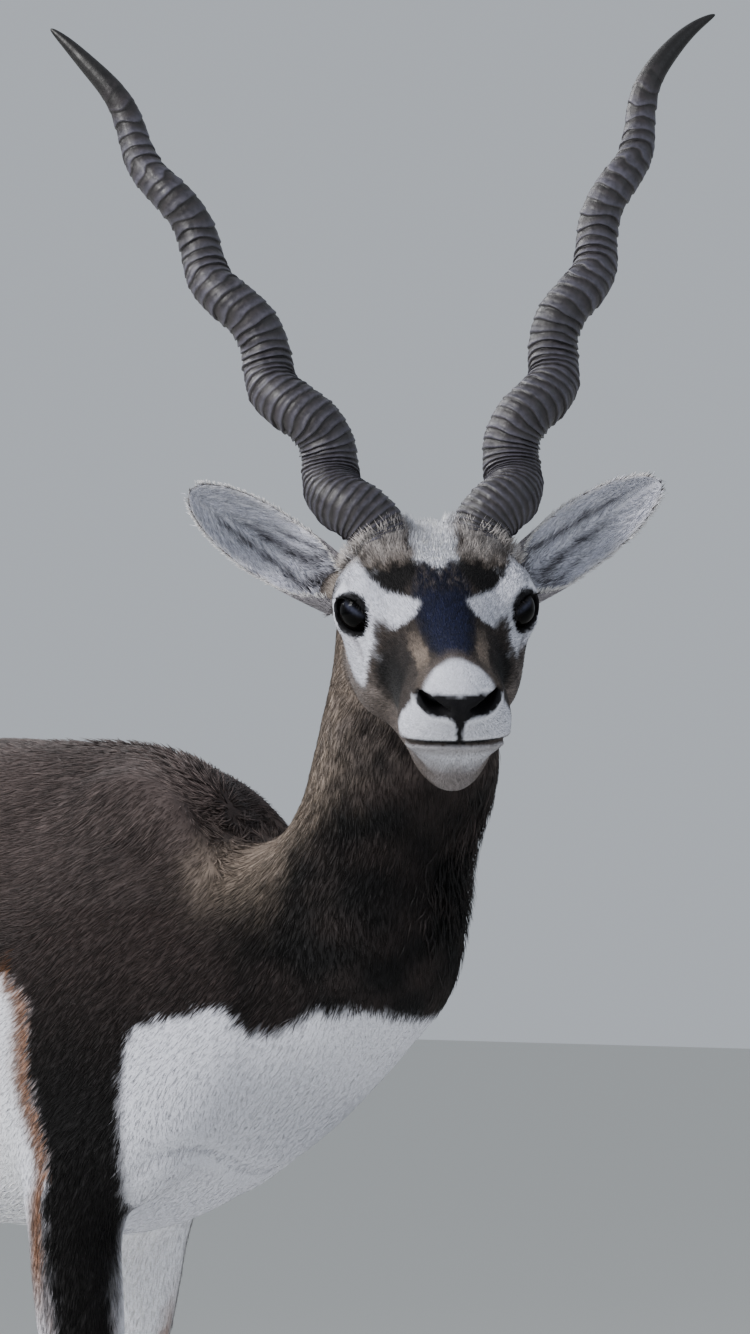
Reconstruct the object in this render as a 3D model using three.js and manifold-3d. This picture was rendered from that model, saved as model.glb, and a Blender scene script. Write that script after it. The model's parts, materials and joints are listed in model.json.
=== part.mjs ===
// An adult male blackbuck as a still, life-size model, in millimetres.
// +X is the way the body faces, +Y its left and +Z up. The animal stands on z = 0 with its head turned to its right.
// The flesh is one soft form, the smooth sum of balls and bones placed by named landmarks.
// It is meshed node by node and parted with thin cuts. Horns, ears, eyes and claws are made by their own rules.
import * as THREE from 'three';
import { mergeVertices } from 'three/addons/utils/BufferGeometryUtils.js';
import Module from 'manifold-3d';

const wasm = await Module();
wasm.setup();

const V = (x, y, z) => new THREE.Vector3(x, y, z);
const DEG = Math.PI / 180;
const GAP = 0.3;

// Driving sizes
const WITHERS_HEIGHT = 790;
const CHEST_BOTTOM = 487;
const EYE_RADIUS = 15.5;
const EYE_SIDE = 44;
const EYE_TURN = 42 * DEG;
const LID_THICKNESS = 2.2;
const HORN_BASE_RADIUS = 18.5;
const HORN_LENGTH = 400;
const HORN_TURNS = 5.376;
const HORN_SWING = 6.9;
// Each horn leans in a little as it rises, bows slightly near its top and hooks outwards at its tip.
const HORN_LEAN = { right: -11.5, left: -26.6 };
const HORN_BOW = { right: 2.6, left: 5 };
const HORN_HOOK = { right: 8.8, left: 17.4 };
const HORN_RINGS = 30;
const EAR_LENGTH = 112;
const EAR_HALF_WIDTH = 22.5;
const EAR_WALL = 2.6;
const CLAW_LENGTH = 50;
const CLAW_WIDTH = 16;
const CLAW_HEIGHT = 31;

// The head's own axes: x from between the eyes to the nose, y to the animal's left, z out of the forehead
const MID_EYE = V(277, -55.5, 872);
const HEAD_YAW = -43 * DEG;
const HEAD_PITCH = 28 * DEG;
const HEAD_ROLL = 1.4 * DEG;
const HEAD_AXES = new THREE.Matrix4()
  .makeRotationZ(HEAD_YAW)
  .multiply(new THREE.Matrix4().makeRotationY(HEAD_PITCH))
  .multiply(new THREE.Matrix4().makeRotationX(HEAD_ROLL))
  .setPosition(MID_EYE);
const TO_HEAD = HEAD_AXES.clone().invert();
const fromHead = (p) => p.clone().applyMatrix4(HEAD_AXES);
const alongHead = (d) => d.clone().transformDirection(HEAD_AXES);

// Landmarks of the trunk and neck
const SKULL_BASE = fromHead(V(-62, -5, -48));
const NECK_ROOT = V(70, 0, 632);
const NECK_LOW = V(163, 0, 671);
const NECK_HIGH = V(210, -3, 778);

// Each leg's joints, from the shoulder or hip down. side is +1 for the animal's left.
const LEGS = {
  fore_right: { side: -1, elbow: V(0, -77, 505), knee: V(20, -66, 266), fetlock: V(20, -63, 98), hoof: V(48, -63, 48) },
  fore_left: { side: 1, elbow: V(-64, 74, 508), knee: V(-104, 64, 270), fetlock: V(-119, 61, 99), hoof: V(-92, 61, 48) },
  hind_right: { side: -1, stifle: V(-422, -84, 566), knee: V(-582, -64, 335), fetlock: V(-562, -62, 104), hoof: V(-536, -62, 48) },
  hind_left: { side: 1, stifle: V(-394, 84, 570), knee: V(-536, 64, 336), fetlock: V(-508, 62, 104), hoof: V(-482, 62, 48) },
};
const isFore = (name) => name.startsWith('fore');

// Soft forms. Each one gives the distance from a point to its surface, and says how widely it blends into the rest.
// A ball has three radii along the axes of its frame, a 3 x 3 matrix.
function ball(centre, radii, blend, axes = new THREE.Matrix4()) {
  const turn = axes.clone().setPosition(0, 0, 0).invert();
  const q = V(0, 0, 0);
  const distance = (p) => {
    q.copy(p).sub(centre).applyMatrix4(turn).divide(radii);
    const near = q.length();
    const slope = q.divide(radii).length();
    return slope > 1e-9 ? (near * (near - 1)) / slope : -Math.min(radii.x, radii.y, radii.z);
  };
  return { distance, blend };
}

// A muscle is a ball stretched from one end to the other, with a half-width across the body and a half-depth.
function muscle(from, to, halfWidth, halfDepth, blend) {
  const along = to.clone().sub(from).normalize();
  const across = V(0, 1, 0).addScaledVector(along, -along.y).normalize();
  const deep = along.clone().cross(across);
  const axes = new THREE.Matrix4().makeBasis(along, across, deep);
  const radii = V(from.distanceTo(to) / 2, halfWidth, halfDepth);
  return ball(from.clone().lerp(to, 0.5), radii, blend, axes);
}

// A bone is a round bar that tapers from one end to the other. squeeze makes it narrower from side to side.
function bone(from, to, radiusFrom, radiusTo, blend, squeeze = 1) {
  const stretch = V(1, squeeze, 1);
  const a = from.clone().multiply(stretch);
  const line = to.clone().multiply(stretch).sub(a);
  const q = V(0, 0, 0);
  const distance = (p) => {
    q.copy(p).multiply(stretch).sub(a);
    const t = THREE.MathUtils.clamp(q.dot(line) / line.lengthSq(), 0, 1);
    const away = q.addScaledVector(line, -t).length() - THREE.MathUtils.lerp(radiusFrom, radiusTo, t);
    return away / (1 + (squeeze - 1) * 0.5);
  };
  return { distance, blend };
}

// A smooth minimum of two distances, rounded over the blend width
function softUnion(a, b, blend) {
  const h = Math.max(blend - Math.abs(a - b), 0) / blend;
  return Math.min(a, b) - (h * h * blend) / 4;
}

const sumOf = (forms, p) => forms.reduce((d, form) => softUnion(d, form.distance(p), form.blend), 1e3);

// The trunk is the same on both sides, so its forms are read at |y|.
const TRUNK = [
  ball(V(-90, 0, 626), V(215, 101, WITHERS_HEIGHT - 626 - 26), 30),
  ball(V(56, 0, 608), V(98, 74, 84), 30),
  ball(V(-20, 0, 592), V(120, 78, 592 - CHEST_BOTTOM), 30),
  ball(V(108, 0, 620), V(74, 62, 58), 26),
  muscle(V(56, 0, 722), V(-190, 0, 742), 30, 52, 30),
  muscle(V(-40, 0, 692), V(-480, 0, 704), 68, 80, 50),
  ball(V(-232, 0, 622), V(196, 95, 108), 60),
  ball(V(-355, 0, 652), V(116, 82, 86), 60),
  ball(V(-470, 0, 694), V(124, 82, 88), 50),
  ball(V(-400, 60, 742), V(30, 20, 18), 40),
  ball(V(-12, 0, 744), V(76, 34, 42), 24),
  ball(V(-120, 0, 742), V(130, 50, 45), 24),
];

const NECK = [
  bone(NECK_ROOT, NECK_LOW, 88, 67, 40, 1.3),
  bone(NECK_LOW, NECK_HIGH, 67, 52, 26, 1.2),
  bone(NECK_HIGH, SKULL_BASE, 52, 49, 26, 1.08),
];

const TAIL_ROOT = V(-572, 0, 742);
const TAIL_BEND = V(-616, 0, 692);
const TAIL_TIP = V(-632, 0, 586);
const TAIL = [
  bone(TAIL_ROOT, TAIL_BEND, 17, 14, 20, 0.8),
  bone(TAIL_BEND, TAIL_TIP, 14, 7, 14, 0.7),
];
const TAIL_SEAT = TAIL_ROOT.clone().lerp(TAIL_BEND, 0.75);
const TAIL_WAY = TAIL_BEND.clone().sub(TAIL_ROOT).normalize();

// The lower half of a leg, from the knee or hock to the top of the claws
function shank(leg, kneeRadii, cannonRadius) {
  const { side, knee, fetlock, hoof } = leg;
  return [
    ball(knee, kneeRadii, 18),
    bone(knee, fetlock, cannonRadius + 2.5, cannonRadius, 16, 1.15),
    ball(fetlock.clone().add(V(-2, side, 0)), V(15.5, 14.5, 17), 16),
    bone(fetlock, hoof.clone().add(V(-5, 0, -8)), 12.5, 16, 12, 0.85),
  ];
}

function foreleg(leg) {
  const { side, elbow, knee } = leg;
  const blade = V(2, side * 36, 764);
  const shoulder = V(106, side * 60, 590);
  const forearmEnd = elbow.clone().lerp(knee, 0.6);
  return [
    muscle(blade, shoulder.clone().add(V(-14, 0, 8)), 24, 56, 30),
    muscle(V(24, side * 62, 706), elbow.clone().add(V(-4, 0, 8)), 24, 54, 30),
    muscle(shoulder.clone().add(V(8, 0, 12)), elbow, 25, 38, 30),
    bone(elbow, knee, 27, 15, 22, 1.25),
    muscle(elbow.clone().add(V(4, 0, 40)), forearmEnd, 22, 27, 22),
    ...shank(leg, V(19, 17, 25), 10.8),
  ];
}

function hindleg(leg) {
  const { side, stifle, knee } = leg;
  const hip = V(-478, side * 52, 712);
  const seat = V(-560, side * 46, 716);
  const heelBone = knee.clone().add(V(-22, 0, 16));
  const calf = stifle.clone().lerp(knee, 0.45);
  return [
    muscle(hip.clone().add(V(0, 0, 56)), stifle.clone().add(V(-34, 0, -46)), 38, 92, 40),
    muscle(seat.clone().add(V(0, 0, 20)), calf.clone().add(V(-22, 0, -20)), 30, 56, 36),
    muscle(V(-394, side * 56, 724), stifle.clone().add(V(2, 0, -26)), 33, 48, 36),
    ball(stifle, V(36, 24, 40), 30),
    bone(stifle, knee, 40, 16, 28, 1.4),
    muscle(stifle.clone().add(V(-44, 0, 10)), stifle.clone().lerp(knee, 0.85), 22, 32, 26),
    bone(calf.clone().add(V(-34, 0, -16)), heelBone, 10, 9, 16),
    bone(heelBone, knee.clone().add(V(-8, 0, -30)), 9, 9, 14),
    ...shank(leg, V(19, 16, 27), 11.6),
  ];
}

// The head, in its own axes. Forms away from the middle line come in pairs, so it too is read at |y|.
const HEAD = [
  ball(V(-50, 0, -6), V(50, 44, 31), 10),
  ball(V(-14, 0, 1), V(44, 44, 23), 20),
  ball(V(-10, 45, 0), V(26, 17, 21), 16),
  bone(V(4, 0, -8), V(102, 0, -8), 29, 19, 24, 0.95),
  bone(V(14, 0, -24), V(92, 0, -24), 37, 28, 24, 1.02),
  ball(V(98, 0, -20), V(24, 29.5, 29), 16),
  ball(V(110, 0, 0), V(13, 24, 14), 12),
  ball(V(106, 15, -23), V(14, 16, 14), 10),
  ball(V(95, 0, -53), V(21, 17, 17), 12),
  bone(V(84, 7, -48), V(-26, 26, -50), 13, 18, 16),
  ball(V(-2, 36, -31), V(46, 16, 31), 18),
  ball(V(26, 0, -52), V(62, 20, 14), 20),
  ball(V(-74, 0, -22), V(24, 32, 27), 18),
  bone(V(-32, 25, 4), V(-42, 29, 20), 20, 19, 14),
  bone(V(-46, 34, -14), V(-50, 52, -15), 18, 13, 14),
];

const LIMBS = [
  ...Object.entries(LEGS).flatMap(([name, leg]) => (isFore(name) ? foreleg(leg) : hindleg(leg))),
  ...TAIL,
];

// Distance from a point to the skin of the whole animal
const folded = V(0, 0, 0);
const inHead = V(0, 0, 0);
function flesh(p) {
  folded.set(p.x, Math.abs(p.y), p.z);
  const trunk = sumOf(TRUNK, folded);
  const rest = sumOf(LIMBS, p);
  const neck = sumOf(NECK, p);
  inHead.copy(p).applyMatrix4(TO_HEAD);
  inHead.y = Math.abs(inHead.y);
  const head = sumOf(HEAD, inHead);
  const body = softUnion(softUnion(trunk, rest, 34), neck, 34);
  return softUnion(body, head, 20);
}

// The slope of a distance function, from small steps either way
function slopeOf(distance, p, step = 0.5) {
  const axes = [V(step, 0, 0), V(0, step, 0), V(0, 0, step)];
  const rises = axes.map((a) => distance(p.clone().add(a)) - distance(p.clone().sub(a)));
  return V(...rises).divideScalar(2 * step);
}

// Meshes where a distance function is zero inside a box: one vertex for each crossed cell, one quad for each crossed edge.
function meshOf(distance, low, high, cell) {
  const size = high.clone().sub(low);
  const n = V(Math.ceil(size.x / cell.x), Math.ceil(size.y / cell.y), Math.ceil(size.z / cell.z));
  const step = size.clone().divide(n);
  const closed = (p) => {
    const over = V(0, 0, 0).copy(p).sub(high).max(low.clone().sub(p));
    return Math.max(distance(p), Math.max(over.x, over.y, over.z) + 1);
  };
  const stride = V(1, n.x + 3, (n.x + 3) * (n.y + 3));
  const indexOf = (i, j, k) => (i + 1) * stride.x + (j + 1) * stride.y + (k + 1) * stride.z;
  const values = new Float32Array((n.x + 3) * (n.y + 3) * (n.z + 3));
  for (let k = -1; k <= n.z + 1; k++)
    for (let j = -1; j <= n.y + 1; j++)
      for (let i = -1; i <= n.x + 1; i++)
        values[indexOf(i, j, k)] = closed(V(i, j, k).multiply(step).add(low));

  const corners = [0, 1, 2, 3, 4, 5, 6, 7].map((c) => [c & 1, (c >> 1) & 1, c >> 2]);
  const edges = corners.flatMap((a, m) => corners.flatMap((b, o) => {
    const apart = Math.abs(a[0] - b[0]) + Math.abs(a[1] - b[1]) + Math.abs(a[2] - b[2]);
    return o > m && apart === 1 ? [[a, b]] : [];
  }));
  const vertexAt = new Map();
  const points = [];
  for (let k = -1; k <= n.z; k++)
    for (let j = -1; j <= n.y; j++)
      for (let i = -1; i <= n.x; i++) {
        const sum = V(0, 0, 0);
        let crossings = 0;
        for (const [a, b] of edges) {
          const va = values[indexOf(i + a[0], j + a[1], k + a[2])];
          const vb = values[indexOf(i + b[0], j + b[1], k + b[2])];
          if (va < 0 === vb < 0) continue;
          sum.add(V(...a).lerp(V(...b), va / (va - vb)));
          crossings += 1;
        }
        if (!crossings) continue;
        const p = sum.divideScalar(crossings).add(V(i, j, k)).multiply(step).add(low);
        for (let pass = 0; pass < 2; pass++) {
          const slope = slopeOf(closed, p);
          p.addScaledVector(slope, -closed(p) / Math.max(slope.lengthSq(), 0.3));
        }
        vertexAt.set(indexOf(i, j, k), points.length);
        points.push(p);
      }

  const triangles = [];
  const addQuad = (quad, facesAhead) => {
    const [a, b, c, d] = facesAhead ? quad : [...quad].reverse();
    const short = points[a].distanceTo(points[c]) < points[b].distanceTo(points[d]);
    triangles.push(...(short ? [a, b, c, a, c, d] : [b, c, d, b, d, a]));
  };
  for (let k = 0; k <= n.z; k++)
    for (let j = 0; j <= n.y; j++)
      for (let i = 0; i <= n.x; i++) {
        const here = indexOf(i, j, k);
        const pairs = [[stride.x, stride.y, stride.z], [stride.y, stride.z, stride.x], [stride.z, stride.x, stride.y]];
        for (const [ahead, u, v] of pairs) {
          const solidHere = values[here] < 0;
          if (solidHere === values[here + ahead] < 0) continue;
          const quad = [here, here - u, here - u - v, here - v].map((cellIndex) => vertexAt.get(cellIndex));
          addQuad(quad, solidHere);
        }
      }
  // Where two sheets pass through one cell an edge is used twice, so the cells are made smaller until none is.
  const ways = new Set();
  for (let i = 0; i < triangles.length; i += 3)
    for (let m = 0; m < 3; m++) ways.add(triangles[i + m] * points.length + triangles[i + ((m + 1) % 3)]);
  if (ways.size < triangles.length) return meshOf(distance, low, high, cell.clone().multiplyScalar(0.96));
  return geometryOf(points, triangles);
}

function geometryOf(points, triangles) {
  const geometry = new THREE.BufferGeometry().setFromPoints(points);
  return geometry.setIndex(triangles);
}

// A closed geometry as a solid that can be joined and cut
function solidOf(geometry) {
  const bare = geometry.clone();
  for (const name of Object.keys(bare.attributes)) if (name !== 'position') bare.deleteAttribute(name);
  const merged = mergeVertices(bare, 1e-3);
  const vertProperties = merged.attributes.position.array;
  const triVerts = new Uint32Array(merged.index.array);
  const made = () => new wasm.Manifold(new wasm.Mesh({ numProp: 3, vertProperties, triVerts }));
  if (made().volume() < 0)
    for (let i = 0; i < triVerts.length; i += 3) triVerts.subarray(i, i + 3).reverse();
  return made();
}

const largestOf = (solid) => solid.decompose().sort((a, b) => b.volume() - a.volume())[0];

// A solid's mesh, with its corners on a grid of a hundredth of a millimetre. Faces that close up there are dropped.
function geometryFrom(solid) {
  const mesh = solid.getMesh();
  const onGrid = Float32Array.from(mesh.vertProperties, (value) => Math.round(value * 100) / 100);
  const geometry = new THREE.BufferGeometry().setAttribute('position', new THREE.BufferAttribute(onGrid, 3));
  geometry.setIndex(new THREE.BufferAttribute(new Uint32Array(mesh.triVerts), 1));
  const merged = mergeVertices(geometry, 1e-3);
  const faces = new Map();
  const index = merged.index.array;
  for (let i = 0; i < index.length; i += 3) {
    const face = [...index.subarray(i, i + 3)];
    if (new Set(face).size < 3) continue;
    const key = [...face].sort((a, b) => a - b).join();
    if (!faces.delete(key)) faces.set(key, face);
  }
  merged.setIndex([...faces.values()].flat());
  merged.computeVertexNormals();
  return merged;
}

// A mesh of rings joined into a closed skin, each ring a list of points that turn the same way
function skinOver(rings) {
  const count = rings[0].length;
  const points = rings.flat();
  const triangles = [];
  for (let r = 0; r + 1 < rings.length; r++)
    for (let i = 0; i < count; i++) {
      const a = r * count + i;
      const b = r * count + ((i + 1) % count);
      triangles.push(a, b, b + count, a, b + count, a + count);
    }
  for (const [ring, first, turned] of [[rings[0], 0, true], [rings.at(-1), (rings.length - 1) * count, false]]) {
    const middle = ring.reduce((sum, p) => sum.add(p), V(0, 0, 0)).divideScalar(count);
    points.push(middle);
    for (let i = 0; i < count; i++) {
      const a = first + i;
      const b = first + ((i + 1) % count);
      triangles.push(...(turned ? [b, a, points.length - 1] : [a, b, points.length - 1]));
    }
  }
  return geometryOf(points, triangles);
}

// A half-space as the side of a plane that its normal points into
const plane = (point, normal) => ({ normal: normal.clone().normalize(), point });
const flip = ({ normal, point }) => ({ normal: normal.clone().negate(), point });
function trimmed(solid, { normal, point }) {
  return solid.trimByPlane(normal.toArray(), point.dot(normal) + GAP / 2);
}

// Where the body is parted
const HEAD_CUT = plane(fromHead(V(-40, 0, -43)), alongHead(V(-0.6, 0, -0.8)));
const NECK_CUT = plane(V(104, 0, 682), V(0.88, 0, 0.477));

// A limb is parted from the trunk by an arch seen from the side, from an inner plane outwards.
function archSolid(side, centre, halfWidth, springHeight, topHeight, bottom, inner, grow) {
  const shape = new THREE.Shape();
  const wide = halfWidth + grow;
  shape.moveTo(centre + wide, bottom);
  shape.lineTo(centre + wide, springHeight);
  shape.absellipse(centre, springHeight, wide, topHeight - springHeight + grow, 0, Math.PI, false, 0);
  shape.lineTo(centre - wide, bottom);
  shape.closePath();
  const depth = 200;
  const arch = new THREE.ExtrudeGeometry(shape, { depth, bevelEnabled: false, curveSegments: 24 });
  arch.rotateX(Math.PI / 2);
  const near = inner - grow;
  arch.translate(0, side > 0 ? near + depth : -near, 0);
  return solidOf(arch);
}

function limbRegion(name, grow) {
  const { side, elbow, stifle } = LEGS[name];
  return isFore(name)
    ? archSolid(side, elbow.x + 38, 104, 600, 740, 180, 38, grow)
    : archSolid(side, stifle.x - 84, 136, 640, 752, 180, 30, grow);
}

const nodes = [];
function addNode(name, solid, finish) {
  nodes.push({ name, solid: largestOf(solid), finish });
}

const FINISHES = {
  coat: { color: 0x2e2622, roughness: 0.85, metalness: 0 },
  white_coat: { color: 0xe4dfd8, roughness: 0.85, metalness: 0 },
  face: { color: 0x4a3a31, roughness: 0.85, metalness: 0 },
  ear: { color: 0xb9ada3, roughness: 0.85, metalness: 0 },
  horn: { color: 0x4b464c, roughness: 0.6, metalness: 0 },
  eye: { color: 0x17100c, roughness: 0.1, metalness: 0 },
  hoof: { color: 0x26211e, roughness: 0.5, metalness: 0 },
};

// Head fittings: horns, ears and eyes, placed from the head's landmarks
const sides = { right: -1, left: 1 };
const HORN_SEAT = (side) => V(-44, side * 32.5, 22);
const HORN_AXIS = (side) => V(-0.725, side * 0.447, 0.522).normalize();
const EAR_SEAT = (side) => V(-50, side * 50, -15);
const EAR_AXIS = (side) => V(-0.26, side * 0.82, 0.5).normalize();
const EYE_CENTRE = (side) => V(0, side * EYE_SIDE, 0);
const GAZE = (side) => V(Math.cos(EYE_TURN), side * Math.sin(EYE_TURN), 0.05).normalize();

// A flat seat is cut where a horn, an ear or the tail stands, by a drum along its axis.
function seatCutter(seat, axis, radius) {
  const drum = new THREE.CylinderGeometry(radius, radius * 1.25, 60, 20);
  drum.translate(0, 30 - GAP / 2, 0);
  drum.applyQuaternion(new THREE.Quaternion().setFromUnitVectors(V(0, 1, 0), axis));
  return solidOf(drum.translate(seat.x, seat.y, seat.z));
}

// The opening between the lids, as an almond seen along the gaze
function lidOpening(side) {
  const halfLength = 14.5;
  const shape = new THREE.Shape();
  shape.moveTo(-halfLength, 0);
  shape.quadraticCurveTo(-1, 22, halfLength, 0);
  shape.quadraticCurveTo(-1, -19, -halfLength, 0);
  const almond = new THREE.ExtrudeGeometry(shape, { depth: 40, bevelEnabled: false, curveSegments: 7 });
  const gaze = GAZE(side);
  const level = V(-Math.sin(EYE_TURN), side * Math.cos(EYE_TURN), 0.34);
  const across = level.addScaledVector(gaze, -level.dot(gaze)).normalize();
  const up = gaze.clone().cross(across);
  almond.applyMatrix4(new THREE.Matrix4().makeBasis(across, up, gaze));
  const from = EYE_CENTRE(side).addScaledVector(gaze, 3);
  almond.translate(from.x, from.y, from.z);
  return solidOf(almond.applyMatrix4(HEAD_AXES));
}

function sphereAt(centre, radius, detail) {
  const sphere = new THREE.SphereGeometry(radius, detail, detail / 2);
  sphere.translate(centre.x, centre.y, centre.z);
  return solidOf(sphere.applyMatrix4(HEAD_AXES));
}

// A nostril slants up and out from beside the middle of the nose pad.
function nostril(side) {
  const shape = new THREE.Shape();
  shape.moveTo(7, -5);
  shape.quadraticCurveTo(13, -10, 19, -2);
  shape.quadraticCurveTo(23, 4, 20, 5);
  shape.quadraticCurveTo(12, 1, 7, -5);
  const hole = new THREE.ExtrudeGeometry(shape, { depth: 30, bevelEnabled: false, curveSegments: 4 });
  hole.applyMatrix4(new THREE.Matrix4().makeBasis(V(0, side, 0), V(0, 0, 1), V(1, 0, 0)));
  hole.translate(108, 0, 1);
  return solidOf(hole.applyMatrix4(HEAD_AXES));
}

// The line of the mouth is a thin slit between the lips, from the front back to the corners.
function mouthSlit() {
  const thick = 1.5;
  const shape = new THREE.Shape();
  shape.moveTo(140, -27);
  shape.quadraticCurveTo(104, -29, 66, -40);
  shape.quadraticCurveTo(104, -29 - 2 * thick, 140, -27 - thick);
  const slit = new THREE.ExtrudeGeometry(shape, { depth: 90, bevelEnabled: false, curveSegments: 5 });
  slit.rotateX(Math.PI / 2);
  slit.translate(0, 45, 0);
  return solidOf(slit.applyMatrix4(HEAD_AXES));
}

// A horn is a ringed bar wound round a straight axis. Its rings are close at the base and wide apart above.
function hornRadius(s) {
  const taper = THREE.MathUtils.lerp(1, 0.42, Math.pow(s, 1.1));
  const point = Math.sqrt(Math.max(0, 1 - Math.pow(s, 7)));
  return HORN_BASE_RADIUS * taper * Math.max(point, 0.06);
}

function hornCentre(side, s) {
  const axis = HORN_AXIS(side);
  const out = V(0, side, 0).addScaledVector(axis, -axis.y * side).normalize();
  const front = out.clone().cross(axis).multiplyScalar(side);
  const turn = 2 * Math.PI * HORN_TURNS * (s - 0.091 - 0.127 * s * s);
  const swing = HORN_SWING * THREE.MathUtils.smoothstep(s, -0.06, 0.08) * (1 - 0.672 * s)
    * (1 - 0.537 * THREE.MathUtils.smoothstep(s, 0.78, 1));
  const word = side > 0 ? 'left' : 'right';
  const inside = THREE.MathUtils.clamp(s, 0, 1);
  const bow = HORN_BOW[word] * Math.sin(Math.PI * Math.pow(inside, 8.56));
  const hook = HORN_HOOK[word] * Math.pow(THREE.MathUtils.clamp((s - 0.82) / 0.18, 0, 1), 2);
  return HORN_SEAT(side)
    .addScaledVector(axis, s * HORN_LENGTH)
    .addScaledVector(out, swing * Math.cos(turn) - bow + HORN_LEAN[word] * inside + hook)
    .addScaledVector(front, -swing * Math.sin(turn));
}

function hornSolid(side) {
  const around = 10;
  const ringed = 0.86;
  const stations = [];
  for (let ring = 0; ring <= 2 * HORN_RINGS; ring++) {
    const share = ring / (2 * HORN_RINGS);
    const s = ringed * (0.42 * share + 0.58 * Math.pow(share, 1.45));
    stations.push({ s, proud: ring % 2 ? 1.2 : -0.9 });
  }
  for (const s of [0.89, 0.925, 0.955, 0.98, 1]) stations.push({ s, proud: 0 });
  const rings = stations.map(({ s, proud }) => {
    const centre = hornCentre(side, s);
    const ahead = hornCentre(side, s + 0.004).sub(hornCentre(side, s - 0.004)).normalize();
    const along = s < 0.001 ? HORN_AXIS(side) : ahead;
    const across = V(0, 1, 0).addScaledVector(along, -along.y).normalize();
    const deep = along.clone().cross(across);
    const radius = Math.max(hornRadius(s) + proud * (1 - 0.5 * s), 0.9);
    return Array.from({ length: around }, (_, i) => {
      const angle = (2 * Math.PI * i) / around;
      const point = centre.clone()
        .addScaledVector(across, radius * Math.cos(angle))
        .addScaledVector(deep, radius * Math.sin(angle));
      return fromHead(point);
    });
  });
  const base = plane(fromHead(HORN_SEAT(side)), alongHead(HORN_AXIS(side)));
  return trimmed(solidOf(skinOver(rings)), base);
}

// An ear is a leaf-shaped cup, rolled almost into a tube at its root. Its opening faces forwards.
function earSolid(side) {
  const lengthSteps = 10;
  const acrossSteps = 8;
  const axis = EAR_AXIS(side);
  const faceWay = V(0.87, side * 0.05, 0.46);
  const open = faceWay.addScaledVector(axis, -faceWay.dot(axis)).normalize();
  const wide = axis.clone().cross(open);
  const point = (u, v, inset) => {
    const half = EAR_HALF_WIDTH * (0.55 + 0.45 * Math.sin(Math.PI * Math.min(u / 0.9, 1) * 0.5 + 0.35))
      * Math.sqrt(Math.max(1 - Math.pow(u, 3.2), 0.004));
    const curl = THREE.MathUtils.lerp(150, 62, THREE.MathUtils.smoothstep(u, 0, 0.45)) * DEG;
    const radius = Math.max(half / Math.sin(Math.min(curl, Math.PI / 2)), EAR_WALL * 0.8);
    const angle = v * curl;
    const wall = THREE.MathUtils.lerp(EAR_WALL, 1.4, u);
    const r = radius - inset * wall * (1 - 0.35 * Math.abs(v));
    const bow = 9 * u * u;
    const depth = 0.75 * radius;
    return EAR_SEAT(side)
      .addScaledVector(axis, u * EAR_LENGTH)
      .addScaledVector(wide, r * Math.sin(angle))
      .addScaledVector(open, depth - r * Math.cos(angle) - depth * 0.9 + bow);
  };
  const rings = [];
  for (let i = 0; i <= lengthSteps; i++) {
    const u = i / lengthSteps;
    const ring = [];
    for (let j = 0; j <= acrossSteps; j++) ring.push(point(u, -1 + (2 * j) / acrossSteps, 0));
    for (let j = acrossSteps; j >= 0; j--) ring.push(point(u, -1 + (2 * j) / acrossSteps, 1));
    rings.push(ring);
  }
  return rings;
}

// A claw is half of a cloven foot, flat below and pointed at the toe.
function clawSolid(leg, inner) {
  const { hoof } = leg;
  const turned = inner ? -1 : 1;
  const outline = Array.from({ length: 10 }, (_, i) => {
    const angle = (2 * Math.PI * i) / 10;
    const x = (CLAW_LENGTH / 2) * Math.cos(angle);
    const taper = 1 - 0.55 * Math.max(0, x / (CLAW_LENGTH / 2)) ** 2;
    const y = (CLAW_WIDTH / 2) * Math.sin(angle) * taper * (Math.sin(angle) * turned > 0 ? 1.15 : 0.75);
    return [x, y];
  });
  const levels = [0, 0.25, 1, 1.4];
  const rings = levels.map((h) => outline.map(([x, y]) => V(
    hoof.x + x * (1 - 0.1 * h) - h * CLAW_HEIGHT * 0.5 + 6,
    hoof.y + turned * (CLAW_WIDTH * 0.5 + 0.9) + y * (1 - 0.06 * h),
    h * CLAW_HEIGHT,
  )));
  return solidOf(skinOver(rings));
}

// Cuts of one leg: knee or hock, and the coronet above the claws
function legCuts(name) {
  const { knee, hoof } = LEGS[name];
  const down = V(0, 0, -1);
  return {
    kneeCut: plane(V(knee.x, knee.y, knee.z - (isFore(name) ? 22 : 26)), down),
    coronet: plane(V(hoof.x, hoof.y, 34), V(0.42, 0, -0.9)),
  };
}

// Flesh nodes
const BODY_CELL = V(34, 24, 25);
let trunkSolid = solidOf(meshOf(flesh, V(-700, -150, 440), V(260, 150, 830), BODY_CELL));
trunkSolid = trimmed(trunkSolid, flip(NECK_CUT)).subtract(seatCutter(TAIL_SEAT, TAIL_WAY, 21));
for (const name of Object.keys(LEGS)) trunkSolid = trunkSolid.subtract(limbRegion(name, GAP));
addNode('torso', trunkSolid, 'coat');

const neckMesh = meshOf(flesh, V(40, -120, 560), V(300, 110, 980), V(20, 19, 21));
addNode('neck', trimmed(trimmed(solidOf(neckMesh), NECK_CUT), HEAD_CUT), 'coat');

const tailMesh = meshOf((p) => sumOf(TAIL, p), V(-720, -40, 540), V(-560, 40, 790), V(9, 9, 14));
addNode('tail', trimmed(solidOf(tailMesh), plane(TAIL_SEAT, TAIL_WAY)), 'coat');

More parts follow.
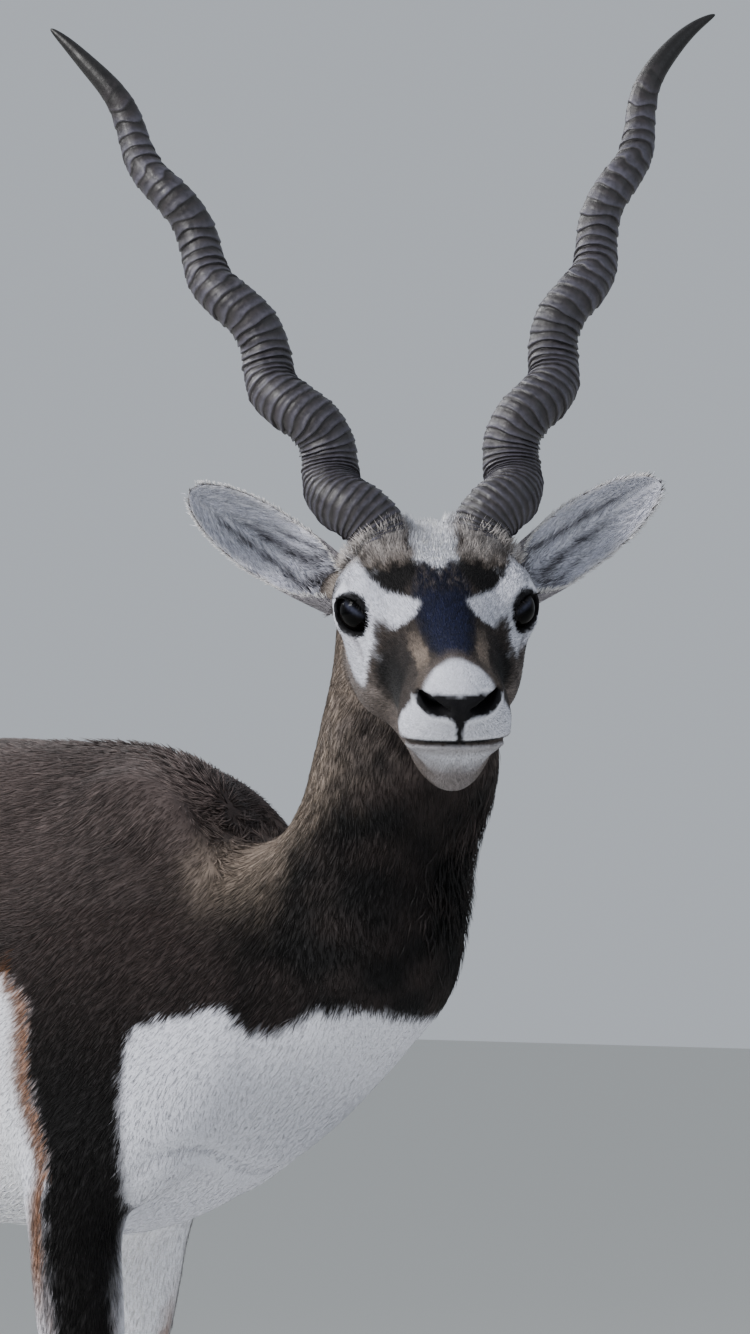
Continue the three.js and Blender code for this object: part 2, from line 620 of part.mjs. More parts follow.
for (const [name, leg] of Object.entries(LEGS)) {
  const { kneeCut, coronet } = legCuts(name);
  const { side } = leg;
  const top = leg.elbow || leg.stifle;
  const reach = isFore(name) ? [150, 175] : [245, 150];
  const nearY = side > 0 ? 4 : -135;
  const upperMesh = meshOf(flesh, V(top.x - reach[0], nearY, 200), V(top.x + reach[1], nearY + 131, 810), V(26, 19, 30));
  const upper = trimmed(solidOf(upperMesh).intersect(limbRegion(name, 0)), flip(NECK_CUT));
  addNode(name + '_upper', trimmed(upper, flip(kneeCut)), 'coat');
  const low = V(leg.fetlock.x - 60, leg.fetlock.y - 34, 12);
  const high = V(leg.knee.x + 60, leg.fetlock.y + 34, leg.knee.z + 10).max(V(leg.hoof.x + 50, -1e3, 0));
  low.min(V(leg.knee.x - 60, 1e3, 1e3));
  let lower = solidOf(meshOf(flesh, low, high, V(11, 11, 28)));
  for (const y of [-9, 9]) {
    const dewclaw = new THREE.SphereGeometry(1, 6, 4).scale(7, 5.5, 10);
    lower = lower.add(solidOf(dewclaw.translate(leg.fetlock.x - 14, leg.fetlock.y + y, leg.fetlock.z - 9)));
  }
  addNode(name + '_lower', trimmed(trimmed(lower, kneeCut), flip(coronet)), 'white_coat');
  for (const inner of [true, false])
    addNode(name + (inner ? '_claw_in' : '_claw_out'), trimmed(clawSolid(leg, inner), coronet), 'hoof');
}

// The head is meshed in its own axes, then fitted with lids, seats, nostrils and the mouth's slit.
const headFlesh = (p) => flesh(fromHead(p));
const headMesh = meshOf(headFlesh, V(-125, -80, -110), V(135, 80, 66), V(9.6, 9.2, 9.2));
let head = solidOf(headMesh.applyMatrix4(HEAD_AXES));
head = trimmed(head, flip(HEAD_CUT));
for (const side of Object.values(sides)) {
  const lids = sphereAt(EYE_CENTRE(side), EYE_RADIUS + LID_THICKNESS, 18);
  head = head.add(lids);
  head = head.subtract(sphereAt(EYE_CENTRE(side), EYE_RADIUS + 2 * GAP, 18));
  head = head.subtract(lidOpening(side));
  head = head.subtract(nostril(side));
  head = head.subtract(seatCutter(fromHead(HORN_SEAT(side)), alongHead(HORN_AXIS(side)), 23));
  head = head.subtract(seatCutter(fromHead(EAR_SEAT(side)), alongHead(EAR_AXIS(side)), 21));
}
head = head.subtract(mouthSlit());
addNode('head', head, 'face');

for (const [word, side] of Object.entries(sides)) {
  addNode('eye_' + word, sphereAt(EYE_CENTRE(side), EYE_RADIUS, 18), 'eye');
  addNode('horn_' + word, hornSolid(side), 'horn');
  const ear = solidOf(skinOver(earSolid(side).map((ring) => ring.map(fromHead))));
  addNode('ear_' + word, trimmed(ear, plane(fromHead(EAR_SEAT(side)), alongHead(EAR_AXIS(side)))), 'ear');
}

// The group's origin is on the ground, at the middle of the animal's outline seen from above.
const group = new THREE.Group();
const bounds = new THREE.Box3();
for (const { name, solid, finish } of nodes) {
  const mesh = new THREE.Mesh(geometryFrom(solid), new THREE.MeshStandardMaterial(FINISHES[finish]));
  mesh.name = name;
  mesh.geometry.computeBoundingBox();
  bounds.union(mesh.geometry.boundingBox);
  group.add(mesh);
}
const middle = bounds.getCenter(V(0, 0, 0));
group.position.set(Math.round(-100 * middle.x) / 100, Math.round(-100 * middle.y) / 100, -bounds.min.z);

export default group;
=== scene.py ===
# %% [markdown]
# # A blackbuck, as a still life-size model
# An adult male blackbuck stands with its head turned to its right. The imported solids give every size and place.
# Here its skin, coat, horns, ears, eyes and claws are built over them, in the same frame and in metres.

# %% The frame
import json
import math

import bmesh
import bpy
import numpy as np
from mathutils import Matrix, Vector, kdtree

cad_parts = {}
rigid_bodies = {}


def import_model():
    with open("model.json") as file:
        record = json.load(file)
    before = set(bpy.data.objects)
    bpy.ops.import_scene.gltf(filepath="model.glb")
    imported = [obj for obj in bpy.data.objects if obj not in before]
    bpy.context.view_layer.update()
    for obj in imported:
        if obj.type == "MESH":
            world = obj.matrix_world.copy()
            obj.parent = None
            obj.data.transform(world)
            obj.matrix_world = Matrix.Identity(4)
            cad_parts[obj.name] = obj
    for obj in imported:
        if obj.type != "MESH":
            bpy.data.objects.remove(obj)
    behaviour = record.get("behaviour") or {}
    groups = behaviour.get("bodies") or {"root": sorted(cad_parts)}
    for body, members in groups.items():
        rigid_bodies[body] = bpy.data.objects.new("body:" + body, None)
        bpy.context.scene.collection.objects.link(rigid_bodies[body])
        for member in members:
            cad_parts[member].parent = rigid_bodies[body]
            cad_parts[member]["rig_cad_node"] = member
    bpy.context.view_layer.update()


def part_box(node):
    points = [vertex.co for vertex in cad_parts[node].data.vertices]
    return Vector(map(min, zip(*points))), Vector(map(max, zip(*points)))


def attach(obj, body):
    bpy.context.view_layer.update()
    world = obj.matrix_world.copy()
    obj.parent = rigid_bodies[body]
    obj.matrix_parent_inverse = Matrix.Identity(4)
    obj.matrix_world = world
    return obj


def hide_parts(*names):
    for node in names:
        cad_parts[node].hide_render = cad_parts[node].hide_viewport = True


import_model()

# %% [markdown]
# The animal is measured in millimetres from the ground under its withers: x ahead, y to its left, z up.
# Everything is worked out there, and moved into the frame only as a mesh is made, so each landmark keeps one plain
# number.

# %% Landmarks
MID_EYE = np.array([277.0, -55.5, 872.0])
EYE_SIDE, EYE_RADIUS, EYE_TURN = 44.0, 15.5, math.radians(42)
SIDES = ((-1, "right"), (1, "left"))


def turn_about(axis, degrees):
    return np.array(Matrix.Rotation(math.radians(degrees), 3, axis))


# The head's own axes are its columns: ahead to the nose, to its left, and out of the forehead.
HEAD_AXES = turn_about("Z", -43) @ turn_about("Y", 28) @ turn_about("X", 1.4)


def from_head(p):
    return np.asarray(p, float) @ HEAD_AXES.T + MID_EYE


def along_head(d):
    return np.asarray(d, float) @ HEAD_AXES.T


def to_head(p):
    return (np.asarray(p, float) - MID_EYE) @ HEAD_AXES


low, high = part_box("eye_right")
eye_middle = 500.0 * (np.array(low) + np.array(high))
ORIGIN = eye_middle - from_head([0, -EYE_SIDE, 0])
ORIGIN[2] = 0.0

NECK_ROOT, NECK_LOW, NECK_HIGH = (70, 0, 632), (163, 0, 671), (210, -3, 778)
SKULL_BASE = tuple(from_head([-62, -5, -48]))
LEGS = {
    "fore_right": dict(side=-1, top=(0, -77, 505), knee=(20, -66, 266), fetlock=(20, -63, 98), hoof=(48, -63, 48)),
    "fore_left": dict(side=1, top=(-64, 74, 508), knee=(-104, 64, 270), fetlock=(-119, 61, 99), hoof=(-92, 61, 48)),
    "hind_right": dict(
        side=-1, top=(-422, -84, 566), knee=(-582, -64, 335), fetlock=(-562, -62, 104), hoof=(-536, -62, 48)
    ),
    "hind_left": dict(side=1, top=(-394, 84, 570), knee=(-536, 64, 336), fetlock=(-508, 62, 104), hoof=(-482, 62, 48)),
}
CORONET_HEIGHT = 34  # where the hair ends and a claw begins, at the toe
print("the withers stand at", ORIGIN.round(2), "mm in the frame")

# %% [markdown]
# A living animal has no edges: muscle runs into bone under one skin. So the flesh is a field, the distance to a soft
# sum of balls and bones. A taxidermist's form is carved the same way, lump by lump, and then smoothed.


# %% Soft forms
def ball(centre, radii, blend, axes=None):
    c, r = np.array(centre, float), np.array(radii, float)
    turn = np.eye(3) if axes is None else axes
    reach = np.sqrt(((turn * r) ** 2).sum(1))

    def distance(x, y, z):
        x, y, z = x - c[0], y - c[1], z - c[2]
        if axes is None:
            q = (x / r[0], y / r[1], z / r[2])
        else:
            q = [(x * turn[0, k] + y * turn[1, k] + z * turn[2, k]) / r[k] for k in range(3)]
        near = np.sqrt(q[0] ** 2 + q[1] ** 2 + q[2] ** 2)
        slope = np.sqrt((q[0] / r[0]) ** 2 + (q[1] / r[1]) ** 2 + (q[2] / r[2]) ** 2)
        return near * (near - 1) / np.maximum(slope, 1e-9)

    return distance, blend, c - reach, c + reach


def muscle(start, end, half_width, half_depth, blend):
    a, b = np.array(start, float), np.array(end, float)
    along = (b - a) / np.linalg.norm(b - a)
    across = np.array([0, 1.0, 0]) - along * along[1]
    across /= np.linalg.norm(across)
    axes = np.stack([along, across, np.cross(along, across)], 1)
    return ball((a + b) / 2, (np.linalg.norm(b - a) / 2, half_width, half_depth), blend, axes)


def bone(start, end, radius_start, radius_end, blend, squeeze=1.0):
    a, b = np.array(start, float), np.array(end, float)
    most = max(radius_start, radius_end)
    line = (b - a) * (1, squeeze, 1)

    def distance(x, y, z):
        x, y, z = x - a[0], (y - a[1]) * squeeze, z - a[2]
        t = np.clip((x * line[0] + y * line[1] + z * line[2]) / (line @ line), 0, 1)
        away = np.sqrt((x - t * line[0]) ** 2 + (y - t * line[1]) ** 2 + (z - t * line[2]) ** 2)
        return (away - radius_start - (radius_end - radius_start) * t) / (1 + (squeeze - 1) * 0.5)

    reach = most * 1.2
    return distance, blend, np.minimum(a, b) - reach, np.maximum(a, b) + reach


def lerp(a, b, t):
    return tuple(np.array(a, float) * (1 - t) + np.array(b, float) * t)


def moved(p, x=0, y=0, z=0):
    return (p[0] + x, p[1] + y, p[2] + z)


TRUNK = [
    ball((-90, 0, 626), (215, 101, 138), 30),
    ball((56, 0, 608), (98, 74, 84), 30),
    ball((-20, 0, 592), (120, 78, 105), 30),
    ball((108, 0, 620), (74, 62, 58), 26),
    muscle((56, 0, 722), (-190, 0, 742), 30, 52, 30),
    muscle((-40, 0, 692), (-480, 0, 704), 68, 80, 50),
    ball((-232, 0, 622), (196, 95, 108), 60),
    ball((-355, 0, 652), (116, 82, 86), 60),
    ball((-470, 0, 694), (124, 82, 88), 50),
    ball((-400, 60, 742), (30, 20, 18), 40),
    ball((-12, 0, 744), (76, 34, 42), 24),
    ball((-120, 0, 742), (130, 50, 45), 24),
]
NECK = [
    bone(NECK_ROOT, NECK_LOW, 88, 67, 40, 1.3),
    bone(NECK_LOW, NECK_HIGH, 67, 52, 26, 1.2),
    bone(NECK_HIGH, SKULL_BASE, 52, 49, 26, 1.08),
]
TAIL_ROOT, TAIL_BEND, TAIL_TIP = (-572, 0, 742), (-616, 0, 692), (-632, 0, 586)
TAIL = [bone(TAIL_ROOT, TAIL_BEND, 17, 14, 20, 0.8), bone(TAIL_BEND, TAIL_TIP, 14, 7, 14, 0.7)]


def shank(leg, knee_radii, cannon):
    knee, fetlock, hoof = leg["knee"], leg["fetlock"], leg["hoof"]
    made = [
        ball(knee, knee_radii, 18),
        bone(knee, fetlock, cannon + 2.5, cannon, 16, 1.15),
        ball(moved(fetlock, -2, leg["side"]), (15.5, 14.5, 17), 16),
        bone(fetlock, moved(hoof, -5, 0, -8), 12.5, 16, 12, 0.85),
    ]
    return made + [ball(moved(fetlock, -14, y, -9), (7, 5.5, 10), 3) for y in (-9, 9)]


def foreleg(leg):
    side, elbow, knee = leg["side"], leg["top"], leg["knee"]
    blade, shoulder = (2, side * 36, 764), (106, side * 60, 590)
    return [
        muscle(blade, moved(shoulder, -14, 0, 8), 24, 56, 30),
        muscle((24, side * 62, 706), moved(elbow, -4, 0, 8), 24, 54, 30),
        muscle(moved(shoulder, 8, 0, 12), elbow, 25, 38, 30),
        bone(elbow, knee, 27, 15, 22, 1.25),
        muscle(moved(elbow, 4, 0, 40), lerp(elbow, knee, 0.6), 22, 27, 22),
    ] + shank(leg, (19, 17, 25), 10.8)


def hindleg(leg):
    side, stifle, knee = leg["side"], leg["top"], leg["knee"]
    hip, seat = (-478, side * 52, 712), (-560, side * 46, 716)
    heel, calf = moved(knee, -22, 0, 16), lerp(stifle, knee, 0.45)
    return [
        muscle(moved(hip, 0, 0, 56), moved(stifle, -34, 0, -46), 38, 92, 40),
        muscle(moved(seat, 0, 0, 20), moved(calf, -22, 0, -20), 30, 56, 36),
        muscle((-394, side * 56, 724), moved(stifle, 2, 0, -26), 33, 48, 36),
        ball(stifle, (36, 24, 40), 30),
        bone(stifle, knee, 40, 16, 28, 1.4),
        muscle(moved(stifle, -44, 0, 10), lerp(stifle, knee, 0.85), 22, 32, 26),
        bone(moved(calf, -34, 0, -16), heel, 10, 9, 16),
        bone(heel, moved(knee, -8, 0, -30), 9, 9, 14),
    ] + shank(leg, (19, 16, 27), 11.6)


LIMBS = [form for name, leg in LEGS.items() for form in (foreleg(leg) if "fore" in name else hindleg(leg))] + TAIL
print("the trunk, neck and limbs are the sum of", len(TRUNK) + len(NECK) + len(LIMBS), "forms")

# %% The head's forms and how forms join
HEAD = [
    ball((-50, 0, -6), (50, 44, 31), 10),
    ball((-14, 0, 1), (44, 44, 23), 20),
    ball((-10, 45, 0), (26, 17, 21), 16),
    bone((4, 0, -8), (102, 0, -8), 29, 19, 24, 0.95),
    bone((14, 0, -24), (92, 0, -24), 37, 28, 24, 1.02),
    ball((98, 0, -20), (24, 29.5, 29), 16),
    ball((110, 0, 0), (13, 24, 14), 12),
    ball((106, 15, -23), (14, 16, 14), 10),
    ball((95, 0, -53), (21, 17, 17), 12),
    bone((84, 7, -48), (-26, 26, -50), 13, 18, 16),
    ball((-2, 36, -31), (46, 16, 31), 18),
    ball((26, 0, -52), (62, 20, 14), 20),
    ball((-74, 0, -22), (24, 32, 27), 18),
    bone((-32, 25, 4), (-42, 29, 20), 20, 19, 14),
    bone((-46, 34, -14), (-50, 52, -15), 18, 13, 14),
]
FAR = 1e3  # farther than any form reaches
NEAR = 14  # how far past its blend a form is still worked out


def soft_union(a, b, blend):
    h = np.maximum(blend - np.abs(a - b), 0) / blend
    return np.minimum(a, b) - h * h * blend / 4


def soft_cut(a, b, blend):
    """a with b taken out of it, and the edge between them rounded over the blend width."""
    return -soft_union(-a, b, blend)


def sum_of(forms, x, y, z):
    """The soft sum of some forms. Each is worked out only near its box, as past its blend it adds nothing."""
    d = np.full(x.shape, FAR)
    for distance, blend, lowest, highest in forms:
        near = blend + NEAR
        m = (x > lowest[0] - near) & (x < highest[0] + near)
        m &= (y > lowest[1] - near) & (y < highest[1] + near)
        m &= (z > lowest[2] - near) & (z < highest[2] + near)
        if m.any():
            d[m] = soft_union(d[m], distance(x[m], y[m], z[m]), blend)
    return d


def parts_of_flesh(p):
    """Distances to the trunk, the limbs, the neck and the head, and the point in the head's axes."""
    x, y, z = p[:, 0], p[:, 1], p[:, 2]
    h = to_head(p)
    return (
        sum_of(TRUNK, x, np.abs(y), z),
        sum_of(LIMBS, x, y, z),
        sum_of(NECK, x, y, z),
        sum_of(HEAD, h[:, 0], np.abs(h[:, 1]), h[:, 2]),
        h,
    )


def step_up(x, start, end):
    t = np.clip((x - start) / (end - start), 0, 1)
    return t * t * (3 - 2 * t)


print("the head is the sum of", len(HEAD), "forms")

# %% [markdown]
# The solids' outline is the tips of the hair, so the skin lies inside them by the coat's depth: about 2 mm on the body,
# and 1 mm or less on the face and shanks. Lids, nostrils, lips and the slit of the scent gland are small changes to the
# field. This way they melt into the skin as they do on the animal, where a separate ring or tube would show its seam.

# %% The skin's field
CORONET = np.array([-0.42, 0, 0.9]) / math.hypot(0.42, 0.9)
# The opening between the lids: half its width, and its height above and below the middle. A shell holds the eye.
LID_HALF, LID_TOP, LID_BOTTOM, LID_SHELL = 14.3, 10.8, 9.3, 17.2
BODY_BLEND, HEAD_BLEND = 34, 20


def gaze_of(side):
    g = np.array([math.cos(EYE_TURN), side * math.sin(EYE_TURN), 0.05])
    return g / np.linalg.norm(g)


def lid_axes(side):
    """Across the lids from the inner corner to the outer, up, and along the gaze."""
    gaze = gaze_of(side)
    level = np.array([-math.sin(EYE_TURN), side * math.cos(EYE_TURN), 0.34])
    across = level - gaze * (level @ gaze)
    across /= np.linalg.norm(across)
    up = np.cross(gaze, across) * side
    return across, up, gaze


def eye_coords(h):
    """Points beside the nearer eye: along its lids, up across them and out along the gaze. h is folded to the left."""
    across, up, gaze = lid_axes(1)
    q = h - (0, EYE_SIDE, 0)
    return q @ across, q @ up, q @ gaze


def coat_depth(p, h):
    deep = 0.9 + 1.0 * step_up(p[:, 2], 270, 470)
    on_head = step_up(h[:, 0], -95, -50) * step_up(p[:, 0], 150, 190)
    return deep * (1 - on_head) + 0.7 * on_head


def flesh(p):
    trunk, limbs, neck, head, h = parts_of_flesh(p)
    body = soft_union(soft_union(trunk, limbs, BODY_BLEND), neck, BODY_BLEND)
    return soft_union(body, head, HEAD_BLEND), h


def path_gap(u, v, path):
    """The distance from points in a plane to a line in it, and how far along the line the nearest place is."""
    best, at = np.full(u.shape, FAR), np.zeros(u.shape)
    for i, (a, b) in enumerate(zip(path[:-1], path[1:])):
        a, b = np.array(a, float), np.array(b, float)
        line = b - a
        t = np.clip(((u - a[0]) * line[0] + (v - a[1]) * line[1]) / (line @ line), 0, 1)
        gap = np.hypot(u - a[0] - t * line[0], v - a[1] - t * line[1])
        closer = gap < best
        best = np.where(closer, gap, best)
        at = np.where(closer, (i + t) / (len(path) - 1), at)
    return best, at


MOUTH = [(136, -23.2), (126, -24.6), (116, -28), (108, -31.5), (88, -38), (66, -45)]
NOSTRIL = [(7.5, -3.6), (11, -3.4), (15.5, -1.2), (19.5, 2), (22, 3.5)]
GLAND = [(16, -11), (22, -13.5), (29, -18)]


# %% Lids, nostrils, lips and glands
def face_details(d, h):
    """The skin's field with lids, nostrils, lips and scent glands, for points in the head's axes."""
    f, l, u = h[:, 0], np.abs(h[:, 1]), h[:, 2]
    folded = np.stack([f, l, u], 1)
    away = np.linalg.norm(folded - (0, EYE_SIDE, 0), axis=1)
    along, up, out = eye_coords(folded)
    d = soft_union(d, away - LID_SHELL, 5.0)
    brow = np.exp(-((along / 15) ** 2) - ((up - 15.5) / 4.5) ** 2) * (out > 0)
    bag = np.exp(-(((along + 1) / 13) ** 2) - ((up + 13.5) / 3.2) ** 2) * (out > 0)
    d = d - 1.5 * brow - 0.9 * bag
    # Each lid's edge is a parabola. The opening reaches back to just behind the front of the eyeball.
    share = np.clip(1 - (along / LID_HALF) ** 2, 0, None)
    lids = np.maximum(up - LID_TOP * share**0.8, -up - LID_BOTTOM * share**0.85)
    lids = np.maximum(lids, np.abs(along) - LID_HALF) * 0.85
    pocket = np.maximum(np.maximum(lids, 13.2 - away), 2 - out)
    d = soft_cut(d, pocket, 1.4)
    # A fold lies above the upper lid.
    crease = np.abs(up - LID_TOP * share**0.8 - 4.2)
    d = d + 0.7 * np.exp(-((crease / 1.1) ** 2)) * (out > 2) * (np.abs(along) < LID_HALF + 1) * (away < 24)
    # A nostril is a comma with a raised rim.
    gap, at = path_gap(l, u, NOSTRIL)
    hole = np.maximum(gap - 2.9 * np.sin(np.pi * (0.12 + 0.8 * at)) - 0.6, 104 - f + 5 * (at - 0.5))
    rim = np.exp(-(((gap - 5.2) / 2.2) ** 2)) * (f > 100)
    d = soft_cut(d - 0.8 * rim, hole, 2.4)
    # The lips swell beside the line of the mouth, and a groove runs down from the nose pad.
    gap = path_gap(f, u, MOUTH)[0]
    lips = np.exp(-(((gap - 3.6) / 2.2) ** 2)) * step_up(f, 70, 88)
    d = d - 0.5 * lips + 2.0 * np.exp(-((gap / 1.5) ** 2)) * step_up(f, 62, 74)
    stem = np.exp(-((l / 1.4) ** 2)) * step_up(-u, 4, 9) * step_up(u, -28, -23) * step_up(f, 100, 108)
    d = d + 1.1 * stem
    gap = path_gap(f, u, GLAND)[0]
    slit = np.exp(-((gap / 1.7) ** 2)) * step_up(l, 14, 20)
    return d + 1.6 * slit


# %% Folds, and the whole skin's field
# Folds of loose skin, before the elbow and round the foot of the neck: a line as the camera sees it, a depth, a width.
ACROSS_VIEW = (0.766, 0.643)
FOLDS = [
    ([(-13, 506), (-7, 527), (4, 536), (19, 541), (33, 542), (62, 527), (78, 522)], 2.6, 6.0),
    ([(83, 742), (62, 734), (48, 719), (43, 696), (43, 673)], 2.0, 5.0),
    ([(89, 738), (70, 729), (57, 715), (53, 696), (52, 677)], 1.6, 4.5),
]


def skin(p):
    """Distance to the bare skin."""
    d, h = flesh(p)
    d = d + coat_depth(p, h)
    loose = (np.abs(d) < 20) & (p[:, 0] > 20) & (p[:, 0] < 200) & (p[:, 2] > 490) & (p[:, 2] < 760)
    if loose.any():
        x, y, z = p[loose].T
        for path, depth, width in FOLDS:
            gap, at = path_gap(ACROSS_VIEW[0] * x - ACROSS_VIEW[1] * np.abs(y), z, path)
            fading = np.sin(np.pi * np.clip(0.06 + 0.88 * at, 0, 1)) ** 0.5
            d[loose] += depth * np.exp(-((gap / width) ** 2)) * fading
    on_face = (h[:, 0] > -40) & (p[:, 0] > 150) & (np.abs(d) < 30)
    if on_face.any():
        d[on_face] = face_details(d[on_face], h[on_face])
    for leg in LEGS.values():
        hoof = leg["hoof"]
        foot = (p[:, 2] < 90) & (np.abs(p[:, 0] - hoof[0]) < 70) & (p[:, 1] * leg["side"] > 0)
        if foot.any():
            above = (p[foot] - (hoof[0], hoof[1], CORONET_HEIGHT)) @ CORONET
            d[foot] = np.maximum(d[foot], -above - 1.2)
    return d


def slope(field, p, step=0.4):
    rises = []
    for k in range(3):
        away = np.zeros(3)
        away[k] = step
        rises.append((field(p + away) - field(p - away)) / (2 * step))
    return np.stack(rises, 1)


def settle(field, p, passes=2):
    """Moves points onto the zero of a field, and gives its outward slope there."""
    for _ in range(passes):
        g = slope(field, p)
        p = p - g * (field(p) / np.maximum((g * g).sum(1), 0.3))[:, None]
    return p, g / np.linalg.norm(g, axis=1)[:, None]


print("the skin has", len(FOLDS), "folds on each side, and lids, nostrils, lips and glands")

# %% [markdown]
# The skin is one closed mesh over the whole animal. Its cells are 6 mm on the body and 2 mm on the head, where lids and
# lips need them. Each cell that the surface crosses gets one point, and each crossed edge one face of four corners.

# %% The skin's mesh
COARSE, RATIO = 6.0, 3
FINE = COARSE / RATIO
LOW = np.array([-666.0, -156.0, 18.0])
CELLS = np.array([176, 52, 157])
# The box of fine cells round the head, in coarse cells.
BOX_LOW, BOX_HIGH = np.array([138, 0, 118]), np.array([176, 36, 157])
AT_ONCE = 400000  # points worked out in one go, which keeps the memory small


def sampled(field, nodes):
    values = np.empty(len(nodes))
    for start in range(0, len(nodes), AT_ONCE):
        some = slice(start, start + AT_ONCE)
        values[some] = field(nodes[some])
    return values


def lattice(low, cell, shape):
    axes = [low[k] + cell * np.arange(shape[k]) for k in range(3)]
    grid = np.meshgrid(*axes, indexing="ij")
    return np.stack([g.ravel() for g in grid], 1)


def crossed_edges(values, shape, cell, low):
    """The edges that the surface crosses, by axis: lattice corners, crossing points and whether they start inside."""
    v = values.reshape(shape)
    found = []
    for axis in range(3):
        lo = [slice(None)] * 3
        hi = [slice(None)] * 3
        lo[axis], hi[axis] = slice(0, -1), slice(1, None)
        a, b = v[tuple(lo)], v[tuple(hi)]
        corner = np.argwhere((a < 0) != (b < 0))
        va, vb = a[tuple(corner.T)], b[tuple(corner.T)]
        point = low + cell * corner
        point[:, axis] += cell * va / (va - vb)
        found.append((axis, corner, point, va < 0))
    return found


def round_edge(corner, axis):
    """The four cells round each edge, in turn about its axis."""
    u, v = (axis + 1) % 3, (axis + 2) % 3
    for du, dv in ((0, 0), (-1, 0), (-1, -1), (0, -1)):
        cell = corner.copy()
        cell[:, u] += du
        cell[:, v] += dv
        yield cell


def skin_quads():
    """The skin's faces as cells of both sizes, the points where edges are crossed, and whether each starts inside."""
    shape = CELLS + 1
    coarse = sampled(skin, lattice(LOW, COARSE, shape))
    fine_low = LOW + COARSE * BOX_LOW
    fine_shape = (BOX_HIGH - BOX_LOW) * RATIO + 1
    fine = sampled(skin, lattice(fine_low, FINE, fine_shape))
    offset = int(np.prod(CELLS + 2))
    quads, points, ways = [], [], []

    def coarse_id(cell):
        return (cell[:, 0] * (CELLS[1] + 2) + cell[:, 1]) * (CELLS[2] + 2) + cell[:, 2]

    def fine_id(cell):
        return offset + (cell[:, 0] * fine_shape[1] + cell[:, 1]) * fine_shape[2] + cell[:, 2]

    for axis, corner, point, inside in crossed_edges(coarse, shape, COARSE, LOW):
        cells = list(round_edge(corner, axis))
        boxed = [np.all((c >= BOX_LOW) & (c < BOX_HIGH), axis=1) for c in cells]
        plain = ~np.any(boxed, axis=0)
        quads.append(np.stack([coarse_id(c) for c in cells], 1)[plain])
        points.append(point[plain])
        ways.append(inside[plain])
    for axis, corner, point, inside in crossed_edges(fine, fine_shape, FINE, fine_low):
        ids = []
        for cell in round_edge(corner, axis):
            within = np.all((cell >= 0) & (cell < fine_shape - 1), axis=1)
            outer = coarse_id(np.floor_divide(cell, RATIO) + BOX_LOW)
            ids.append(np.where(within, fine_id(cell), outer))
        quads.append(np.stack(ids, 1))
        points.append(point)
        ways.append(inside)
    return np.concatenate(quads), np.concatenate(points), np.concatenate(ways)


def skin_mesh():
    """The skin's points, triangles and outward ways. A cell's point is the middle of its crossings, then settled."""
    quads, points, ways = skin_quads()
    used, index = np.unique(quads, return_inverse=True)
    index = index.reshape(-1, 4)
    total, count = np.zeros((len(used), 3)), np.zeros(len(used))
    for k in range(4):
        np.add.at(total, index[:, k], points)
        np.add.at(count, index[:, k], 1)
    p = total / count[:, None]
    index = np.where(ways[:, None], index, index[:, ::-1])
    p, normal = settle(skin, p)
    # A quad is split along its shorter diagonal. One that has two corners in one cell leaves a triangle.
    first, second = (np.linalg.norm(p[index[:, k]] - p[index[:, k + 2]], axis=1) for k in (0, 1))
    q = np.where((first < second)[:, None], index, np.roll(index, -1, 1))
    faces = np.concatenate([q[:, [0, 1, 2]], q[:, [0, 2, 3]]])
    whole = (faces[:, 0] != faces[:, 1]) & (faces[:, 1] != faces[:, 2]) & (faces[:, 2] != faces[:, 0])
    return p, faces[whole], normal


# %% Making and painting a mesh
def new_mesh(name, points, faces):
    """A smooth object with its place in its mesh, from points in the animal's millimetres."""
    mesh = bpy.data.meshes.new(name)
    points = (np.asarray(points, float) + ORIGIN) / 1000
    faces = np.asarray(faces)
    sides = faces.shape[1]
    mesh.vertices.add(len(points))
    mesh.vertices.foreach_set("co", points.astype(np.float32).ravel())
    mesh.loops.add(faces.size)
    mesh.loops.foreach_set("vertex_index", faces.astype(np.int32).ravel())
    mesh.polygons.add(len(faces))
    mesh.polygons.foreach_set("loop_start", np.arange(0, faces.size, sides, dtype=np.int32))
    mesh.polygons.foreach_set("use_smooth", np.full(len(faces), True))
    mesh.update(calc_edges=True)
    made = bpy.data.objects.new(name, mesh)
    bpy.context.scene.collection.objects.link(made)
    return made


def paint(obj, name, colours):
    layer = obj.data.color_attributes.new(name, "FLOAT_COLOR", "POINT")
    rgba = np.ones((len(colours), 4), np.float32)
    rgba[:, :3] = colours
    layer.data.foreach_set("color", rgba.ravel())


def ring_quads(count, around):
    """Numbers for rings of points, and the four corners of each face between them."""
    index = np.arange(count * around).reshape(count, around)
    a, b = index[:-1], index[1:]
    return index, np.stack([a, np.roll(a, -1, 1), np.roll(b, -1, 1), b], -1).reshape(-1, 4)


skin_points, skin_faces, skin_normals = skin_mesh()
print("the skin has", len(skin_points), "points and", len(skin_faces), "triangles")

# %% [markdown]
# A grown male is dark above and white below, with white round the eyes, on the chin and inside the ears. Hair colour
# comes from where it grows, so one function of place gives it, and the skin and every sliver ask the same one.


# %% Colours and soft patches
def srgb(*c):
    c = np.array(c, float) / 255
    return np.where(c <= 0.04045, c / 12.92, ((c + 0.055) / 1.055) ** 2.4)


